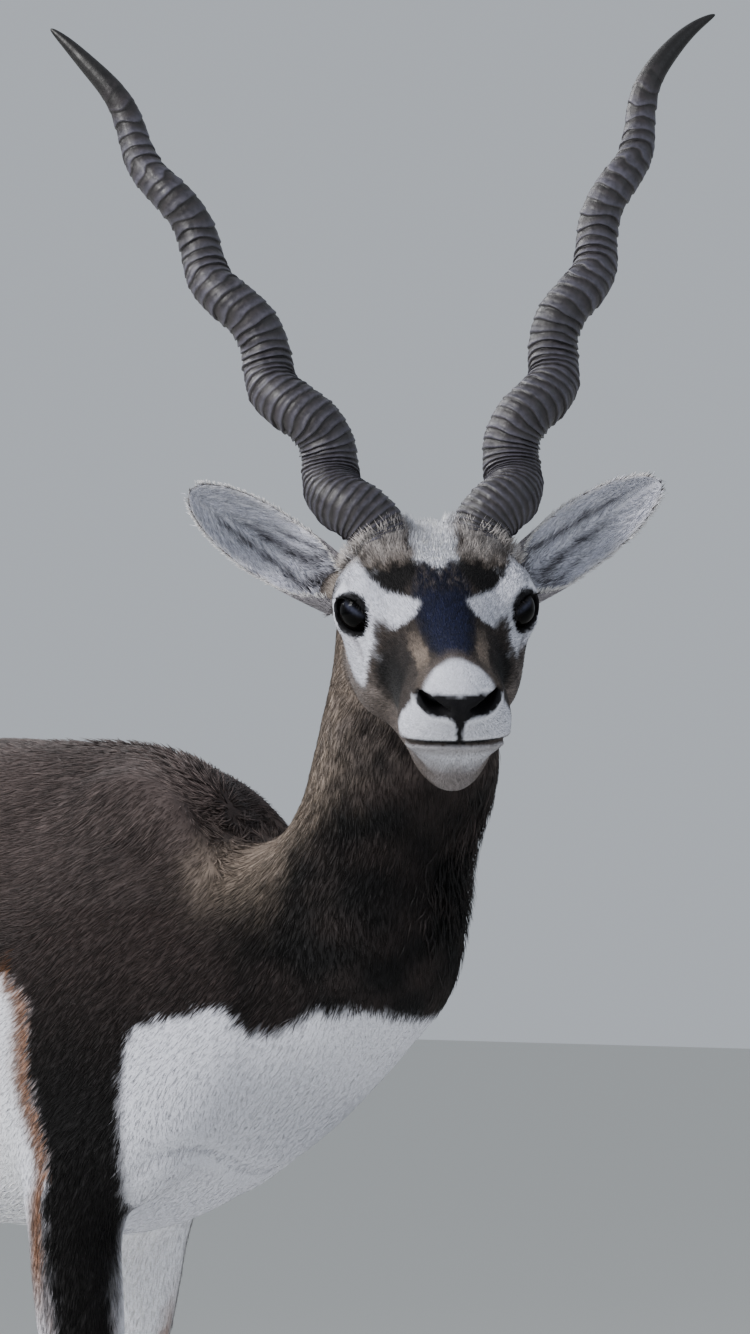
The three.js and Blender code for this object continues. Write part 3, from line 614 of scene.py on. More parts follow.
DARK, BROWN, RUST, GOLD = srgb(9, 8, 10), srgb(54, 45, 44), srgb(144, 94, 54), srgb(152, 137, 125)
WHITE, CREAM, GREY = srgb(217, 218, 229), srgb(168, 158, 150), srgb(108, 98, 94)
TAN = srgb(112, 100, 92)
FACE_BLACK_SKY_SHEEN, FACE_BROWN, NOSE = srgb(23, 28, 56), srgb(58, 51, 48), srgb(14, 13, 17)
CHEEK, JAW, BROW_REAR = srgb(136, 126, 122), srgb(94, 86, 82), srgb(178, 171, 168)
FOREHEAD, HORN_FOOT = srgb(240, 241, 250), srgb(190, 184, 182)
SADDLE, LIT_BELLY_WHITE, SHADED_BREAST_WHITE = srgb(100, 88, 86), srgb(241, 241, 247), srgb(150, 154, 168)


def ripple(p, size, seed):
    """A smooth random field from about -1 to 1, made of a few waves that run different ways."""
    rng = np.random.default_rng(seed)
    total = np.zeros(len(p))
    for k in range(7):
        way = rng.normal(size=3)
        way /= np.linalg.norm(way)
        total += np.sin((p @ way) * (2 * np.pi / (size * rng.uniform(0.6, 1.7))) + rng.uniform(0, 6.28))
    return total / 3.2


def mixed(base, other, share):
    return base + (np.asarray(other) - base) * np.clip(share, 0, 1)[:, None]


def spot(h, centre, radii, soft=0.3, n=0, lean=0.0):
    """1 inside a ball of the face and 0 outside it, for points folded to the left. lean turns it about the head's Z."""
    q = h - centre
    c, s = math.cos(lean), math.sin(lean)
    q = np.stack([q[:, 0] * c + q[:, 1] * s, q[:, 1] * c - q[:, 0] * s, q[:, 2]], 1)
    near = np.linalg.norm(q / radii, axis=1) + n
    return 1 - step_up(near, 1 - soft, 1 + soft)


print("white hair is", WHITE.round(3), "in linear light, and dark hair", DARK.round(4))


# %% The face's markings
BROW_BAND = [(-30, 54), (-17, 52), (2, 46.5), (14, 38), (24, 29), (32, 23)]
TAN_STREAK = [(54, 21), (70, 19), (84, 17.5), (98, 19), (110, 22.5)]
PAD_TOP = ([0, 12, 22, 27], [6.4, 6.9, 6.0, 3.0])
PAD_LOW = ([0, 3, 8, 16, 20, 24, 27], [-9.5, -8.8, -7.8, -7.8, -6.8, -3.0, 0.0])


def face_colour(h):
    """The colour of the hair at points of the head, in its own axes."""
    f, side, u = h.T
    l = np.abs(side)
    g = np.stack([f, l, u], 1)
    n = 0.10 * ripple(g, 11, 3) + 0.05 * ripple(g, 4, 4)
    m = 2.0 * ripple(g, 8, 7)
    # Brown and grey on the cheeks and jaw; black down the bridge, with a painted blue sheen of the sky along its
    # middle.
    c = np.tile(FACE_BROWN, (len(h), 1))
    c = mixed(c, CHEEK, step_up(-u + 4 * m, 14, 38) * (0.62 + 0.4 * ripple(g, 7, 9)))
    c = mixed(c, GOLD, step_up(-f + m, -14, 20) * step_up(-u, 10, 36) * (0.6 + 0.2 * ripple(g, 6, 15)))
    c = mixed(c, RUST, step_up(-f + m, -10, 20) * step_up(-u, 16, 40) * 0.3)
    bridge = np.interp(f, [-30, 0, 25, 50, 84, 100], [6, 13, 17.5, 16.5, 11, 2])
    band = (1 - step_up(l + m * 0.6, bridge - 2, bridge + 3)) * step_up(u, 0, 8) * (1 - step_up(f + m, 80, 94))
    # Painted sheen: the bridge's middle is painted blue, as the sky shines on it; its edges and crown stay black.
    c = mixed(c, FACE_BLACK_SKY_SHEEN, band)
    to_edge, to_crown = step_up(l + m, 0.45 * bridge, bridge) * 0.6, step_up(-f + 2 * m, -44, -14) * 0.6
    c = mixed(c, DARK, band * np.maximum(to_edge, to_crown))
    c = mixed(c, GREY, band * step_up(-f + m, -30, -4) * np.clip(ripple(g, 4, 23), 0, 1) * 0.9)
    c = mixed(c, NOSE, spot(g, (64, 33, -9), (27, 14, 20), 0.25, n) * (0.55 + 0.2 * ripple(g, 6, 16)))
    c = mixed(c, DARK, spot(g, (66, 34, -17), (24, 14, 16), 0.35, n) * 0.92)
    gap, at = path_gap(f, l, TAN_STREAK)
    streak = (1 - step_up(gap + 0.5 * m, 2.2, 4.6)) * step_up(u, -2, 3)
    c = mixed(c, GOLD, streak * (0.16 + 0.6 * np.exp(-(((at - 0.38) / 0.26) ** 2))))
    # The brow patch, the white band over and round the eye, and the white of the forehead.
    brow = spot(g, (-4, 28.5, 20), (27, 18.5, 18), 0.18, 0.6 * n, 0.3)
    c = mixed(c, DARK, brow * 0.93)
    c = mixed(c, TAN, brow * step_up(-f + 1.5 * m, 4, 20) * (0.75 + 0.25 * ripple(g, 5, 13)))
    c = mixed(c, BROW_REAR, brow * step_up(-f + 1.5 * m, 9, 26) * 0.95)
    gap, at = path_gap(f, l, BROW_BAND)
    width = np.interp(at, [0, 0.2, 0.4, 0.6, 0.8, 1], [8, 7.2, 6.2, 6.0, 7.0, 8.6])
    c = mixed(c, WHITE, (1 - step_up(gap + 0.3 * m, width - 1.8, width + 1.6)) * step_up(u, 0, 6))
    along, up, out = eye_coords(g)
    ring = np.hypot(along / 21, (up - 1) / 18) + 0.5 * n
    c = mixed(c, WHITE, (1 - step_up(ring, 0.84, 1.1)) * (l > 28) * (f < 26))
    c = mixed(c, WHITE, spot(g, (15, 48, -13), (24, 13, 19), 0.22, n, -0.15) * (1 - step_up(-u, 10, 20) * (side > 0)))
    c = mixed(c, WHITE, spot(g, (25, 48, -27), (11.5, 11, 13), 0.3, n) * np.where(side > 0, 0.0, 0.95))
    c = mixed(c, CREAM, spot(g, (-36, 52, 6), (15, 16, 22), 0.5, n) * 0.8)
    c = mixed(c, HORN_FOOT, spot(g, (-40, 34, 28), (14, 21, 16), 0.35, n) * 0.85)
    c = mixed(c, GOLD, spot(g, (-46, 34, 22), (15, 18, 14), 0.5, n) * 0.3)
    top = (1 - step_up(l + 0.8 * m, 9, 16)) * step_up(u, 18, 24) * (1 - step_up(f + 0.9 * l + 2 * m, -4, 8))
    c = mixed(c, FOREHEAD, top * (0.94 + 0.2 * ripple(g, 5, 12)))
    # The muzzle: white above the nose pad and on the lips and chin, with the pad between the nostrils and its stem.
    start = 92 + 0.25 * l + 0.034 * l * l
    soft_edge = step_up(f + m * 0.5, start - 14, start - 2) * step_up(u, -6, 2)
    c = mixed(c, GREY, soft_edge * (1 - step_up(l, 16, 24)) * 0.45)
    c = mixed(c, WHITE, step_up(f + m * 0.5, start - 3, start + 8) * step_up(u, -9, -3))
    c = mixed(c, WHITE, step_up(f - 0.45 * u + m * 0.6, 109, 115) * (u < 2))
    c = mixed(c, WHITE, step_up(-u + 2 * m, 40, 50) * step_up(f, 40, 78) * (1 - step_up(l + m, 10, 16)) * 0.9)
    c = mixed(c, GREY, step_up(-u + 2 * m, 34, 52) * (1 - step_up(f, 66, 92)) * 0.6)
    c = mixed(c, JAW, step_up(l + 0.59 * (-u - 39.5) + m, 21, 28) * step_up(-u, 33, 38) * 0.85)
    # Partly the chin's own grey-tan hair, partly painted shade: grey deepening down the underside of the jaw and chin.
    c = mixed(c, GREY, step_up(-u + m, 31, 55) * 0.85)
    pad = np.minimum(np.interp(l, *PAD_TOP) - u, u - np.interp(l, *PAD_LOW))
    pad = step_up(pad + 0.25 * m, -0.8, 1.0) * (1 - step_up(l, 25, 27)) * step_up(f, 103, 108)
    c = mixed(c, NOSE, pad)
    stem = np.interp(u, [-24, -14, -8], [1.2, 1.6, 3.6])
    stem = (1 - step_up(l, stem, stem + 1.4)) * step_up(-u, 5, 8)
    c = mixed(c, NOSE, stem * (1 - step_up(-u, 25, 27)) * step_up(f, 100, 108))
    # The line of the mouth, painted dark as shadow in the crease between the lips, with painted grey shade below it;
    # the slit of the gland and the dark rims of the lids.
    gap = path_gap(f, u, MOUTH)[0]
    c = mixed(c, NOSE, (1 - step_up(gap, 1.3, 2.8)) * step_up(f, 62, 74))
    # Painted shade: a grey band below the mouth, where the upper lip shades the lower.
    c = mixed(c, GREY, np.exp(-(((gap - 4) / 4.5) ** 2)) * (u < -26) * step_up(f, 80, 100) * 0.6)
    gap = path_gap(f, u, GLAND)[0]
    c = mixed(c, GREY, np.exp(-((gap / 2.2) ** 2)) * step_up(l, 14, 20) * 0.4)
    away = np.linalg.norm(g - (0, EYE_SIDE, 0), axis=1)
    share = np.clip(1 - (along / 16.0) ** 2, 0, None)
    rim = np.maximum(up - 14.6 * share**0.8, -up - 11.2 * share**0.85)
    c = mixed(c, NOSE, (1 - step_up(rim, -0.2, 1.6)) * (out > 0) * (away < 25) * (np.abs(along) < 17.5))
    return c


# %% The body's markings
# The edge between dark and white, as how far along the body and how high.
CHEST_EDGE = (
    [60, 68, 80, 95, 110, 122, 137, 149, 162, 178, 191, 207, 225],
    [612, 630, 645, 652, 641, 631, 618, 614, 621, 631, 629, 627, 626],
)
FLANK_EDGE = ([-520, -440, -340, -220, -120, -60, -36], [640, 616, 590, 592, 615, 642, 651])
# The edges of the dark band down a foreleg, as heights and how far behind and before the leg's middle.
BAND_BACK = ([393, 525, 590, 632, 651, 690], [-16, 3, -28, -38, -62, -140])
BAND_FRONT = ([393, 526, 588, 618, 640], [37, 52, 47, 45, 140])
NAPE = [(90, 716), (118, 728), (152, 750), (172, 790), (186, 850)]
# Heights on a leg: white up to here, the shank's mark gives way to the thigh's, the black fades, and the mark ends.
LEG_MARKS = {
    "fore": dict(white=470, blend=(400, 480), fade=(560, 690), top=690),
    "hind": dict(white=560, blend=(350, 450), fade=(470, 640), top=700),
}


def leg_line(leg, z, k):
    """Where a leg's middle is at a height."""
    marks = [leg["hoof"], leg["fetlock"], leg["knee"], leg["top"]]
    return np.interp(z, [m[2] for m in marks], [m[k] for m in marks])


def band_of_leg(name, leg, p, n):
    """How dark and how rusty a leg's outer band is at each point."""
    x, y, z = p.T
    way, marks = leg["side"], LEG_MARKS[name[:4]]
    mid_x, mid_y = leg_line(leg, z, 0), leg_line(leg, z, 1)
    outer, front = (y - mid_y) * way, x - mid_x
    turn = (outer * 0.73 + front * 0.68) / np.maximum(np.hypot(outer, front), 1)
    low = step_up(turn + n * 0.02, 0.70, 0.88) * step_up(z + n, 70, 120)
    low_rust = step_up(turn + n * 0.02, 0.50, 0.80) * step_up(z + n, 60, 110)
    if "fore" in name:
        mid = np.where(z > 505, np.interp(z, [505, 640], [leg["top"][0], 24]), mid_x)
        inside = np.minimum(x - (mid + np.interp(z, *BAND_BACK)), mid + np.interp(z, *BAND_FRONT) - x) + n * 0.5
        deep = step_up(np.abs(y), 58, 74)
        high = step_up(inside, -3, 4) * deep
        high_rust = step_up(inside + 12, -12, 8) * (x < mid) * deep
    else:
        inside = outer + 8 + n * 0.5 + 0.25 * (z - 470) - 0.30 * np.maximum(-front - 40, 0)
        high, high_rust = step_up(inside, -6, 8), step_up(inside, -18, 2)
    blend = step_up(z, *marks["blend"])
    dark = low * (1 - blend) + high * blend
    if name == "fore_left":
        dark = dark * step_up(outer + n * 0.3, 5, 18)
    return dark, low_rust * (1 - blend) + high_rust * blend


def neck_colour(p, n):
    """The neck is nearly black, with fawn along its nape."""
    x, y, z = p.T
    c = mixed(np.tile(DARK, (len(p), 1)), BROWN, 0.16 + 0.25 * ripple(p, 26, 6) + 0.35 * step_up(z + n, 700, 800))
    gap = path_gap(x, z, NAPE)[0]
    nape = np.exp(-((gap / (26 + 1.5 * n)) ** 2)) * (1 - step_up(y, 10, 50))
    c = mixed(c, GOLD, nape * (0.75 + 0.25 * ripple(p, 9, 14)))
    c = mixed(c, GREY, step_up(z + n, 750, 815) * (0.36 + 0.4 * ripple(p, 10, 18)))
    return mixed(c, GOLD, step_up(z + n, 795, 825) * step_up(-y, 30, 60) * 0.5)


def markings(p):
    """The colour of the hair that grows at each point."""
    trunk, limbs, neck, head, h = parts_of_flesh(p)
    x, y, z = p.T
    side = np.abs(y)
    n = ripple(p, 55, 1) * 5 + ripple(p, 13, 2) * 2.5
    shoulder = step_up(745 - z, 0, 120) * step_up(x, -200, 60)
    c = mixed(np.tile(BROWN, (len(p), 1)), DARK, 0.45 + 0.35 * np.tanh(ripple(p, 110, 5)) + 0.25 * shoulder)
    c = mixed(c, SADDLE, step_up(z + 2.5 * n, 600, 765) * (0.44 + 0.2 * ripple(p, 8, 17)))
    # White starts at an edge along the lower flank and across the chest. Where it meets the dark it turns rust.
    edge = np.where(x > 20, np.interp(x, *CHEST_EDGE), np.interp(x, *FLANK_EDGE))
    below = edge + n * np.where(x > 20, 0.45, 1) - z
    c = mixed(c, RUST, step_up(below, -12, 0) * (x < 20) * 0.55)
    white = step_up(below, -3, 4)
    # A dark band comes down the outside of each foreleg and on down its shank, rust along its rear edge.
    for name, leg in LEGS.items():
        dark, rust = band_of_leg(name, leg, p, n)
        marks = LEG_MARKS[name[:4]]
        here = (y * leg["side"] > 0) & (limbs < 16) & (z < marks["top"])
        if "hind" in name:
            here &= x < leg["top"][0] + 40 + 0.5 * (z - 560)
        fade = 1 - step_up(z + n, *marks["fade"])
        white[here] = np.where(z[here] < marks["white"], 1, white[here]) * (1 - dark[here])
        c[here] = mixed(c[here], BROWN, dark[here])
        c[here] = mixed(c[here], RUST, (rust * (1 - dark))[here] * 0.85)
        c[here] = mixed(c[here], DARK, (dark * fade)[here] * 0.96)
        white[here] *= 1 - 0.92 * (rust * (1 - dark))[here]
    on_neck = step_up(trunk - neck, -10, 24) * step_up(x, 50, 105)
    c = c * (1 - on_neck)[:, None] + neck_colour(p, n) * on_neck[:, None]
    base = np.exp(-(((x - 112) / 25) ** 2) - ((z - 722) / 25) ** 2)
    c = mixed(c, GOLD, base * (0.6 + 0.3 * ripple(p, 12, 8)))
    c = mixed(c, WHITE, white)
    # Painted light and shade: the white behind the chest is painted brighter, as painted light, and the white low on
    # the breast greyer and bluer, as painted shade.
    c = mixed(c, LIT_BELLY_WHITE, white * step_up(-x, -10, 60) * 0.8)
    # Painted shade on the lower breast.
    c = mixed(c, SHADED_BREAST_WHITE, white * step_up(x, 50, 160) * step_up(620 - z, 0, 80) * 0.5)
    # The tail is dark above and white below, and the rump beside it is white.
    along = np.clip((742 - z) / 156, 0, 1)
    tail = (x < -588) & (side < 24) & (z > 560)
    behind = step_up(-(x + 604 + 30 * along) + n * 0.5, -4, 4)
    c[tail] = mixed(np.tile(WHITE, (tail.sum(), 1)), DARK, behind[tail])
    rump = step_up(-x + n, 562, 580) * (1 - step_up(side + n * 0.6, 36, 48)) * step_up(726 - z, -5, 20) * (~tail)
    c = mixed(c, WHITE, rump)
    on_head = step_up(neck - head, -4, 14) * (x > 150)
    here = on_head > 0
    c[here] = c[here] * (1 - on_head[here])[:, None] + face_colour(h[here]) * on_head[here][:, None]
    return c


skin_obj = new_mesh("skin", skin_points, skin_faces)
paint(skin_obj, "coat", markings(skin_points))
print("the skin is painted at", len(skin_points), "points")

# %% [markdown]
# Every surface gets a procedural material. Colour is read from the markings, and fine noise in object space gives the
# grain.


# %% Materials
def material(name):
    made = bpy.data.materials.new(name)
    made.use_nodes = True
    nodes, links = made.node_tree.nodes, made.node_tree.links
    shader = nodes["Principled BSDF"]
    return made, nodes, links, shader


def add(nodes, kind, **settings):
    """A new node. Each setting is one of its properties, or one of its inputs with _ for a space."""
    node = nodes.new(kind)
    for key, value in settings.items():
        if key in node.bl_rna.properties:
            setattr(node, key, value)
        else:
            node.inputs[key.replace("_", " ")].default_value = value
    return node


def noise(nodes, links, scale, detail, stretch=(1, 1, 1)):
    where, mapping = add(nodes, "ShaderNodeTexCoord"), add(nodes, "ShaderNodeMapping", Scale=stretch)
    made = add(nodes, "ShaderNodeTexNoise", Scale=scale, Detail=detail)
    links.new(where.outputs["Object"], mapping.inputs["Vector"])
    links.new(mapping.outputs["Vector"], made.inputs["Vector"])
    return made.outputs["Fac"]


def spread(nodes, links, value, low, high):
    """A noise, most of which lies between 0.3 and 0.7, spread over a new range."""
    node = add(nodes, "ShaderNodeMapRange", From_Min=0.3, From_Max=0.7, To_Min=low, To_Max=high)
    links.new(value, node.inputs["Value"])
    return node.outputs["Result"]


def attribute(nodes, name, output="Color"):
    return add(nodes, "ShaderNodeAttribute", attribute_name=name).outputs[output]


def ramped(nodes, links, value, first, last, *between):
    """The colour at a value from 0 to 1. Each stop is a place and a colour."""
    node = add(nodes, "ShaderNodeValToRGB")
    elements = node.color_ramp.elements
    for element, (place, colour) in zip(elements, (first, last)):
        element.position, element.color = place, (*colour, 1)
    for place, colour in between:
        elements.new(place).color = (*colour, 1)
    links.new(value, node.inputs["Fac"])
    return node.outputs["Color"]


def shaded(nodes, links, colour, factor):
    """A colour made lighter or darker by a factor."""
    node = add(nodes, "ShaderNodeVectorMath", operation="SCALE")
    links.new(colour, node.inputs[0])
    links.new(factor, node.inputs["Scale"])
    return node.outputs["Vector"]


def bumped(nodes, links, shader, height, distance, strength=0.6):
    bump = add(nodes, "ShaderNodeBump", Distance=distance, Strength=strength)
    links.new(height, bump.inputs["Height"])
    links.new(bump.outputs["Normal"], shader.inputs["Normal"])


def hair_material(name, grain, distance, roughness):
    """Hair in the colours that a mesh was painted in, with a fine grain."""
    made, nodes, links, shader = material(name)
    fine = noise(nodes, links, grain, 3)
    coat = shaded(nodes, links, attribute(nodes, "coat"), spread(nodes, links, fine, 0.82, 1.15))
    links.new(coat, shader.inputs["Base Color"])
    shader.inputs["Roughness"].default_value = roughness
    shader.inputs["Specular IOR Level"].default_value = 0.22
    bumped(nodes, links, shader, fine, distance)
    return made


SKIN_MATERIAL = hair_material("skin coat", 900, 0.0006, 0.8)
HAIR_MATERIAL = hair_material("hair", 260, 0.0003, 0.62)
skin_obj.data.materials.append(SKIN_MATERIAL)
print("materials:", SKIN_MATERIAL.name, "and", HAIR_MATERIAL.name)

# %% [markdown]
# A horn is a cone wound round a straight axis, with a ridge for each spell of growth. Ridges lie close at the base and
# wide above, and stand out as sharp cups on the hollow side of each turn. A rule makes them, so the horns are Geometry
# Nodes.


# %% Node arithmetic
class Field:
    """A number in a node tree that can be added, multiplied and so on. The tree is the one being built."""

    tree = None

    def __init__(self, socket):
        self.socket = socket

    @staticmethod
    def math(operation, *values):
        node = Field.tree.nodes.new("ShaderNodeMath")
        node.operation = operation
        for k, value in enumerate(values):
            feed(node, k, value)
        return Field(node.outputs[0])

    def __add__(self, other):
        return Field.math("ADD", self, other)

    def __sub__(self, other):
        return Field.math("SUBTRACT", self, other)

    def __rsub__(self, other):
        return Field.math("SUBTRACT", other, self)

    def __mul__(self, other):
        return Field.math("MULTIPLY", self, other)

    def __truediv__(self, other):
        return Field.math("DIVIDE", self, other)

    def __pow__(self, other):
        return Field.math("POWER", self, other)

    __radd__, __rmul__ = __add__, __mul__


def feed(node, name, value):
    """Puts a number, a field or a socket into one of a node's inputs."""
    if isinstance(value, Field):
        value = value.socket
    if isinstance(value, bpy.types.NodeSocket):
        Field.tree.links.new(value, node.inputs[name])
    else:
        node.inputs[name].default_value = value


def sine(a):
    return Field.math("SINE", a)


def cosine(a):
    return Field.math("COSINE", a)


def held(value, low=0.0, high=1.0):
    return Field.math("MINIMUM", Field.math("MAXIMUM", value, low), high)


def eased(value):
    inside = held(value)
    return inside * inside * (3 - 2 * inside)


def vector(x, y, z):
    node = Field.tree.nodes.new("ShaderNodeCombineXYZ")
    for k, value in enumerate((x, y, z)):
        feed(node, k, value)
    return node.outputs[0]


def vector_math(operation, a, b=None, scale=None):
    node = Field.tree.nodes.new("ShaderNodeVectorMath")
    node.operation = operation
    for name, value in ((0, a), (1, b), ("Scale", scale)):
        if value is not None:
            feed(node, name, value)
    return node.outputs["Value" if operation == "DOT_PRODUCT" else "Vector"]


def sized(way, length):
    return vector_math("SCALE", way, scale=length)


def through(kind, geometry, **inputs):
    """Sends a geometry through a new node, and gives what comes out."""
    node = Field.tree.nodes.new(kind)
    for name, value in (("Geometry", geometry), *inputs.items()):
        feed(node, name, value)
    return node.outputs["Geometry"]


print("numbers in a node tree can now be added, multiplied and joined into vectors")

# %% The horns' sizes
HORN_LENGTH, HORN_BASE, HORN_TURNS, HORN_SWING = 400.0, 18.5, 5.376, 6.9
# Each horn leans in a little as it rises, bows slightly near its top and hooks outwards at its tip.
HORN_LEAN, HORN_BOW, HORN_HOOK = {-1: -11.5, 1: -26.6}, {-1: 2.6, 1: 5.0}, {-1: 8.8, 1: 17.4}


def horn_frame(side):
    """A horn's seat and its axis, outward way and front, in the head's axes."""
    axis = np.array([-0.725, side * 0.447, 0.522])
    axis /= np.linalg.norm(axis)
    out = np.array([0, side, 0]) - axis * axis[1] * side
    out /= np.linalg.norm(out)
    return np.array([-44.0, side * 32.5, 22.0]), axis, out, np.cross(out, axis) * side


HORN_NUMBERS = [
    "Length", "Base Radius", "Turns", "Swing", "Lean", "Bow", "Hook", "Ring Depth", "Base Ring Gap", "Ring Gap Growth",
]
HORN_SIDES, HORN_STATIONS = 57, 640
HORN_SUNK = 0.012  # how far a horn starts below its seat, as a share of its length
SMOOTH_TIP = 0.8  # where the last rings begin to fade
print("each horn is", HORN_LENGTH, "mm along its axis and takes", len(HORN_NUMBERS), "numbers")


# %% The rule for a ringed horn
def horn_sheet():
    """A sheet of points to be wrapped: the angle round the horn and the share of the way along the sheet."""
    tree = Field.tree
    grid = tree.nodes.new("GeometryNodeMeshGrid")
    for name, value in (("Vertices X", HORN_SIDES), ("Vertices Y", HORN_STATIONS), ("Size X", 1.0), ("Size Y", 1.0)):
        feed(grid, name, value)
    split = tree.nodes.new("ShaderNodeSeparateXYZ")
    feed(split, 0, tree.nodes.new("GeometryNodeInputPosition").outputs[0])
    angle = (Field(split.outputs[0]) + 0.5) * (2 * math.pi)
    return grid.outputs["Mesh"], angle, Field(split.outputs[1]) + 0.5


def ridge(count, rise, power):
    """A wave that climbs fast and falls slowly, once for each ring."""
    f = Field.math("FRACT", count)
    return Field.math("MINIMUM", f / rise, ((1 - f) / (1 - rise)) ** power)


def horn_tree():
    """One ringed horn in millimetres: its axis is along Z, its outward way along X and its front along Y."""
    tree = bpy.data.node_groups.new("ringed horn", "GeometryNodeTree")
    Field.tree = tree
    face = tree.interface
    face.new_socket("Geometry", in_out="INPUT", socket_type="NodeSocketGeometry")
    for name in HORN_NUMBERS:
        face.new_socket(name, in_out="INPUT", socket_type="NodeSocketFloat")
    face.new_socket("Material", in_out="INPUT", socket_type="NodeSocketMaterial")
    face.new_socket("Geometry", in_out="OUTPUT", socket_type="NodeSocketGeometry")
    entry, leave = tree.nodes.new("NodeGroupInput"), tree.nodes.new("NodeGroupOutput")
    numbers = [Field(entry.outputs[name]) for name in HORN_NUMBERS]
    length, base, turns, swing_size, lean_size, bow_size, hook_size, ring_depth, gap, growth = numbers
    geometry, angle, share = horn_sheet()
    s = share * (1 + HORN_SUNK) - HORN_SUNK

    def centre(s):
        """The turn and the middle of the horn at a share of its length. Turns slow down and narrow towards the tip."""
        turn = (s - s * s * 0.127 - 0.091) * turns * (2 * math.pi)
        swing = swing_size * eased((s + 0.06) / 0.14) * (1 - s * 0.672) * (1 - eased((s - 0.78) / 0.22) * 0.537)
        inside = held(s)
        bow = bow_size * sine(inside**8.56 * math.pi)
        hook = hook_size * held((s - 0.82) / 0.18) ** 2.0
        outwards = swing * cosine(turn) - bow + lean_size * inside + hook
        return turn, vector(outwards, swing * sine(turn) * -1.0, s * length)

    turn, middle = centre(s)
    ahead = vector_math("NORMALIZE", vector_math("SUBTRACT", centre(s + 0.004)[1], centre(s - 0.004)[1]))
    across = vector_math("NORMALIZE", vector_math("CROSS_PRODUCT", ahead, (0.0, 1.0, 0.0)))
    deep = vector_math("CROSS_PRODUCT", ahead, across)
    radial = vector_math("ADD", sized(across, cosine(angle)), sized(deep, sine(angle)))
    # 1 on the bulging side of each turn and 0 on its hollow side
    bulge = Field(vector_math("DOT_PRODUCT", radial, vector(cosine(turn), sine(turn) * -1.0, 0.0))) * 0.5 + 0.5
    # The count of rings up to here grows ever more slowly, as their gaps widen.
    along = Field.math("MAXIMUM", s, 0.0)
    count = length / growth * Field.math("LOGARITHM", 1 + growth * along / gap, math.e)
    wander = sine(angle * 2.0 + s * 37.0) * 0.13 + sine(angle * 3.0 + s * 91.0 + 1.7) * 0.10
    wander = wander + sine(angle * 5.0 + s * 153.0) * 0.04
    strong = ridge(count + wander, 0.16, 0.75)
    fine = ridge((count + wander) * 2.0, 0.3, 1.0)
    fade = 1 - held((s - SMOOTH_TIP) / 0.08)
    worn = 0.72 + 0.18 * sine(count * 1.9 + 0.6) + 0.14 * sine(count * 4.3 + angle)
    profile = (strong * (1.25 - bulge * 0.75) + fine * (bulge * 0.35)) * fade * worn
    taper = 1 - 0.58 * along**1.1
    point = Field.math("SQRT", Field.math("MAXIMUM", 1 - along**7.0, 0.0))
    foot = held(share / 0.004)
    flutes = sine(angle * 13.0 + s * 6.0) * 0.12 + sine(angle * 21.0 + s * 11.0) * 0.08
    radius = (base - 0.9 + flutes + profile * ring_depth * (0.82 + 0.1 * s)) * taper * point * foot
    overhang = profile * -0.9 * fade
    spot = vector_math("ADD", vector_math("ADD", middle, sized(radial, radius)), sized(ahead, overhang * foot))
    for name, value in (("ridge", strong * fade), ("bulge", bulge), ("along", s)):
        geometry = through("GeometryNodeStoreNamedAttribute", geometry, Name=name, Value=value)
    geometry = through("GeometryNodeSetPosition", geometry, Position=spot)
    geometry = through("GeometryNodeMergeByDistance", geometry, Distance=0.004)
    geometry = through("GeometryNodeSetShadeSmooth", geometry)
    geometry = through("GeometryNodeRealizeInstances", geometry)
    geometry = through("GeometryNodeSetMaterial", geometry, Material=entry.outputs["Material"])
    feed(leave, "Geometry", geometry)
    return tree


ringed = horn_tree()
print("the rule for a horn has", len(ringed.nodes), "nodes")


# %% Growing a mesh from a rule
def grown(name, tree, values, turn, seat):
    """The mesh that a node tree makes, turned and moved onto its seat in the head's axes."""
    carrier = bpy.data.objects.new(name, bpy.data.meshes.new(name))
    bpy.context.scene.collection.objects.link(carrier)
    modifier = carrier.modifiers.new("grow", "NODES")
    modifier.node_group = tree
    for item in tree.interface.items_tree:
        if item.item_type == "SOCKET" and item.in_out == "INPUT" and item.name in values:
            modifier[item.identifier] = values[item.name]
    bpy.context.view_layer.update()
    mesh = bpy.data.meshes.new_from_object(carrier.evaluated_get(bpy.context.evaluated_depsgraph_get()))
    bpy.data.objects.remove(carrier)
    co = np.empty(len(mesh.vertices) * 3, np.float32)
    mesh.vertices.foreach_get("co", co)
    p = from_head(co.reshape(-1, 3).astype(float) @ turn + seat)
    mesh.vertices.foreach_set("co", ((p + ORIGIN) / 1000).astype(np.float32).ravel())
    mesh.update()
    mesh.name = name
    made = bpy.data.objects.new(name, mesh)
    bpy.context.scene.collection.objects.link(made)
    return made


def outward(obj):
    """Turns every face of a closed mesh outward."""
    shape = bmesh.new()
    shape.from_mesh(obj.data)
    if shape.calc_volume(signed=True) < 0:
        bmesh.ops.reverse_faces(shape, faces=shape.faces)
    shape.to_mesh(obj.data)
    shape.free()


# %% Horns
HORN_MATERIAL, nodes, links, shader = material("horn")
# The rings are painted near black in their grooves as painted shade, and the horn's own grey on their tops.
groove, slope_up, ridge_top = (0.0, srgb(14, 11, 12)), (0.45, srgb(44, 39, 42)), (1.0, srgb(72, 70, 82))
ringed_colour = ramped(nodes, links, attribute(nodes, "ridge", "Fac"), groove, ridge_top, slope_up)
streaks = noise(nodes, links, 300, 5)
patches = noise(nodes, links, 28, 2)
tone = shaded(nodes, links, ringed_colour, spread(nodes, links, streaks, 0.6, 1.35))
links.new(shaded(nodes, links, tone, spread(nodes, links, patches, 0.75, 1.25)), shader.inputs["Base Color"])
links.new(spread(nodes, links, streaks, 0.38, 0.62), shader.inputs["Roughness"])
bumped(nodes, links, shader, streaks, 0.0005, 0.7)

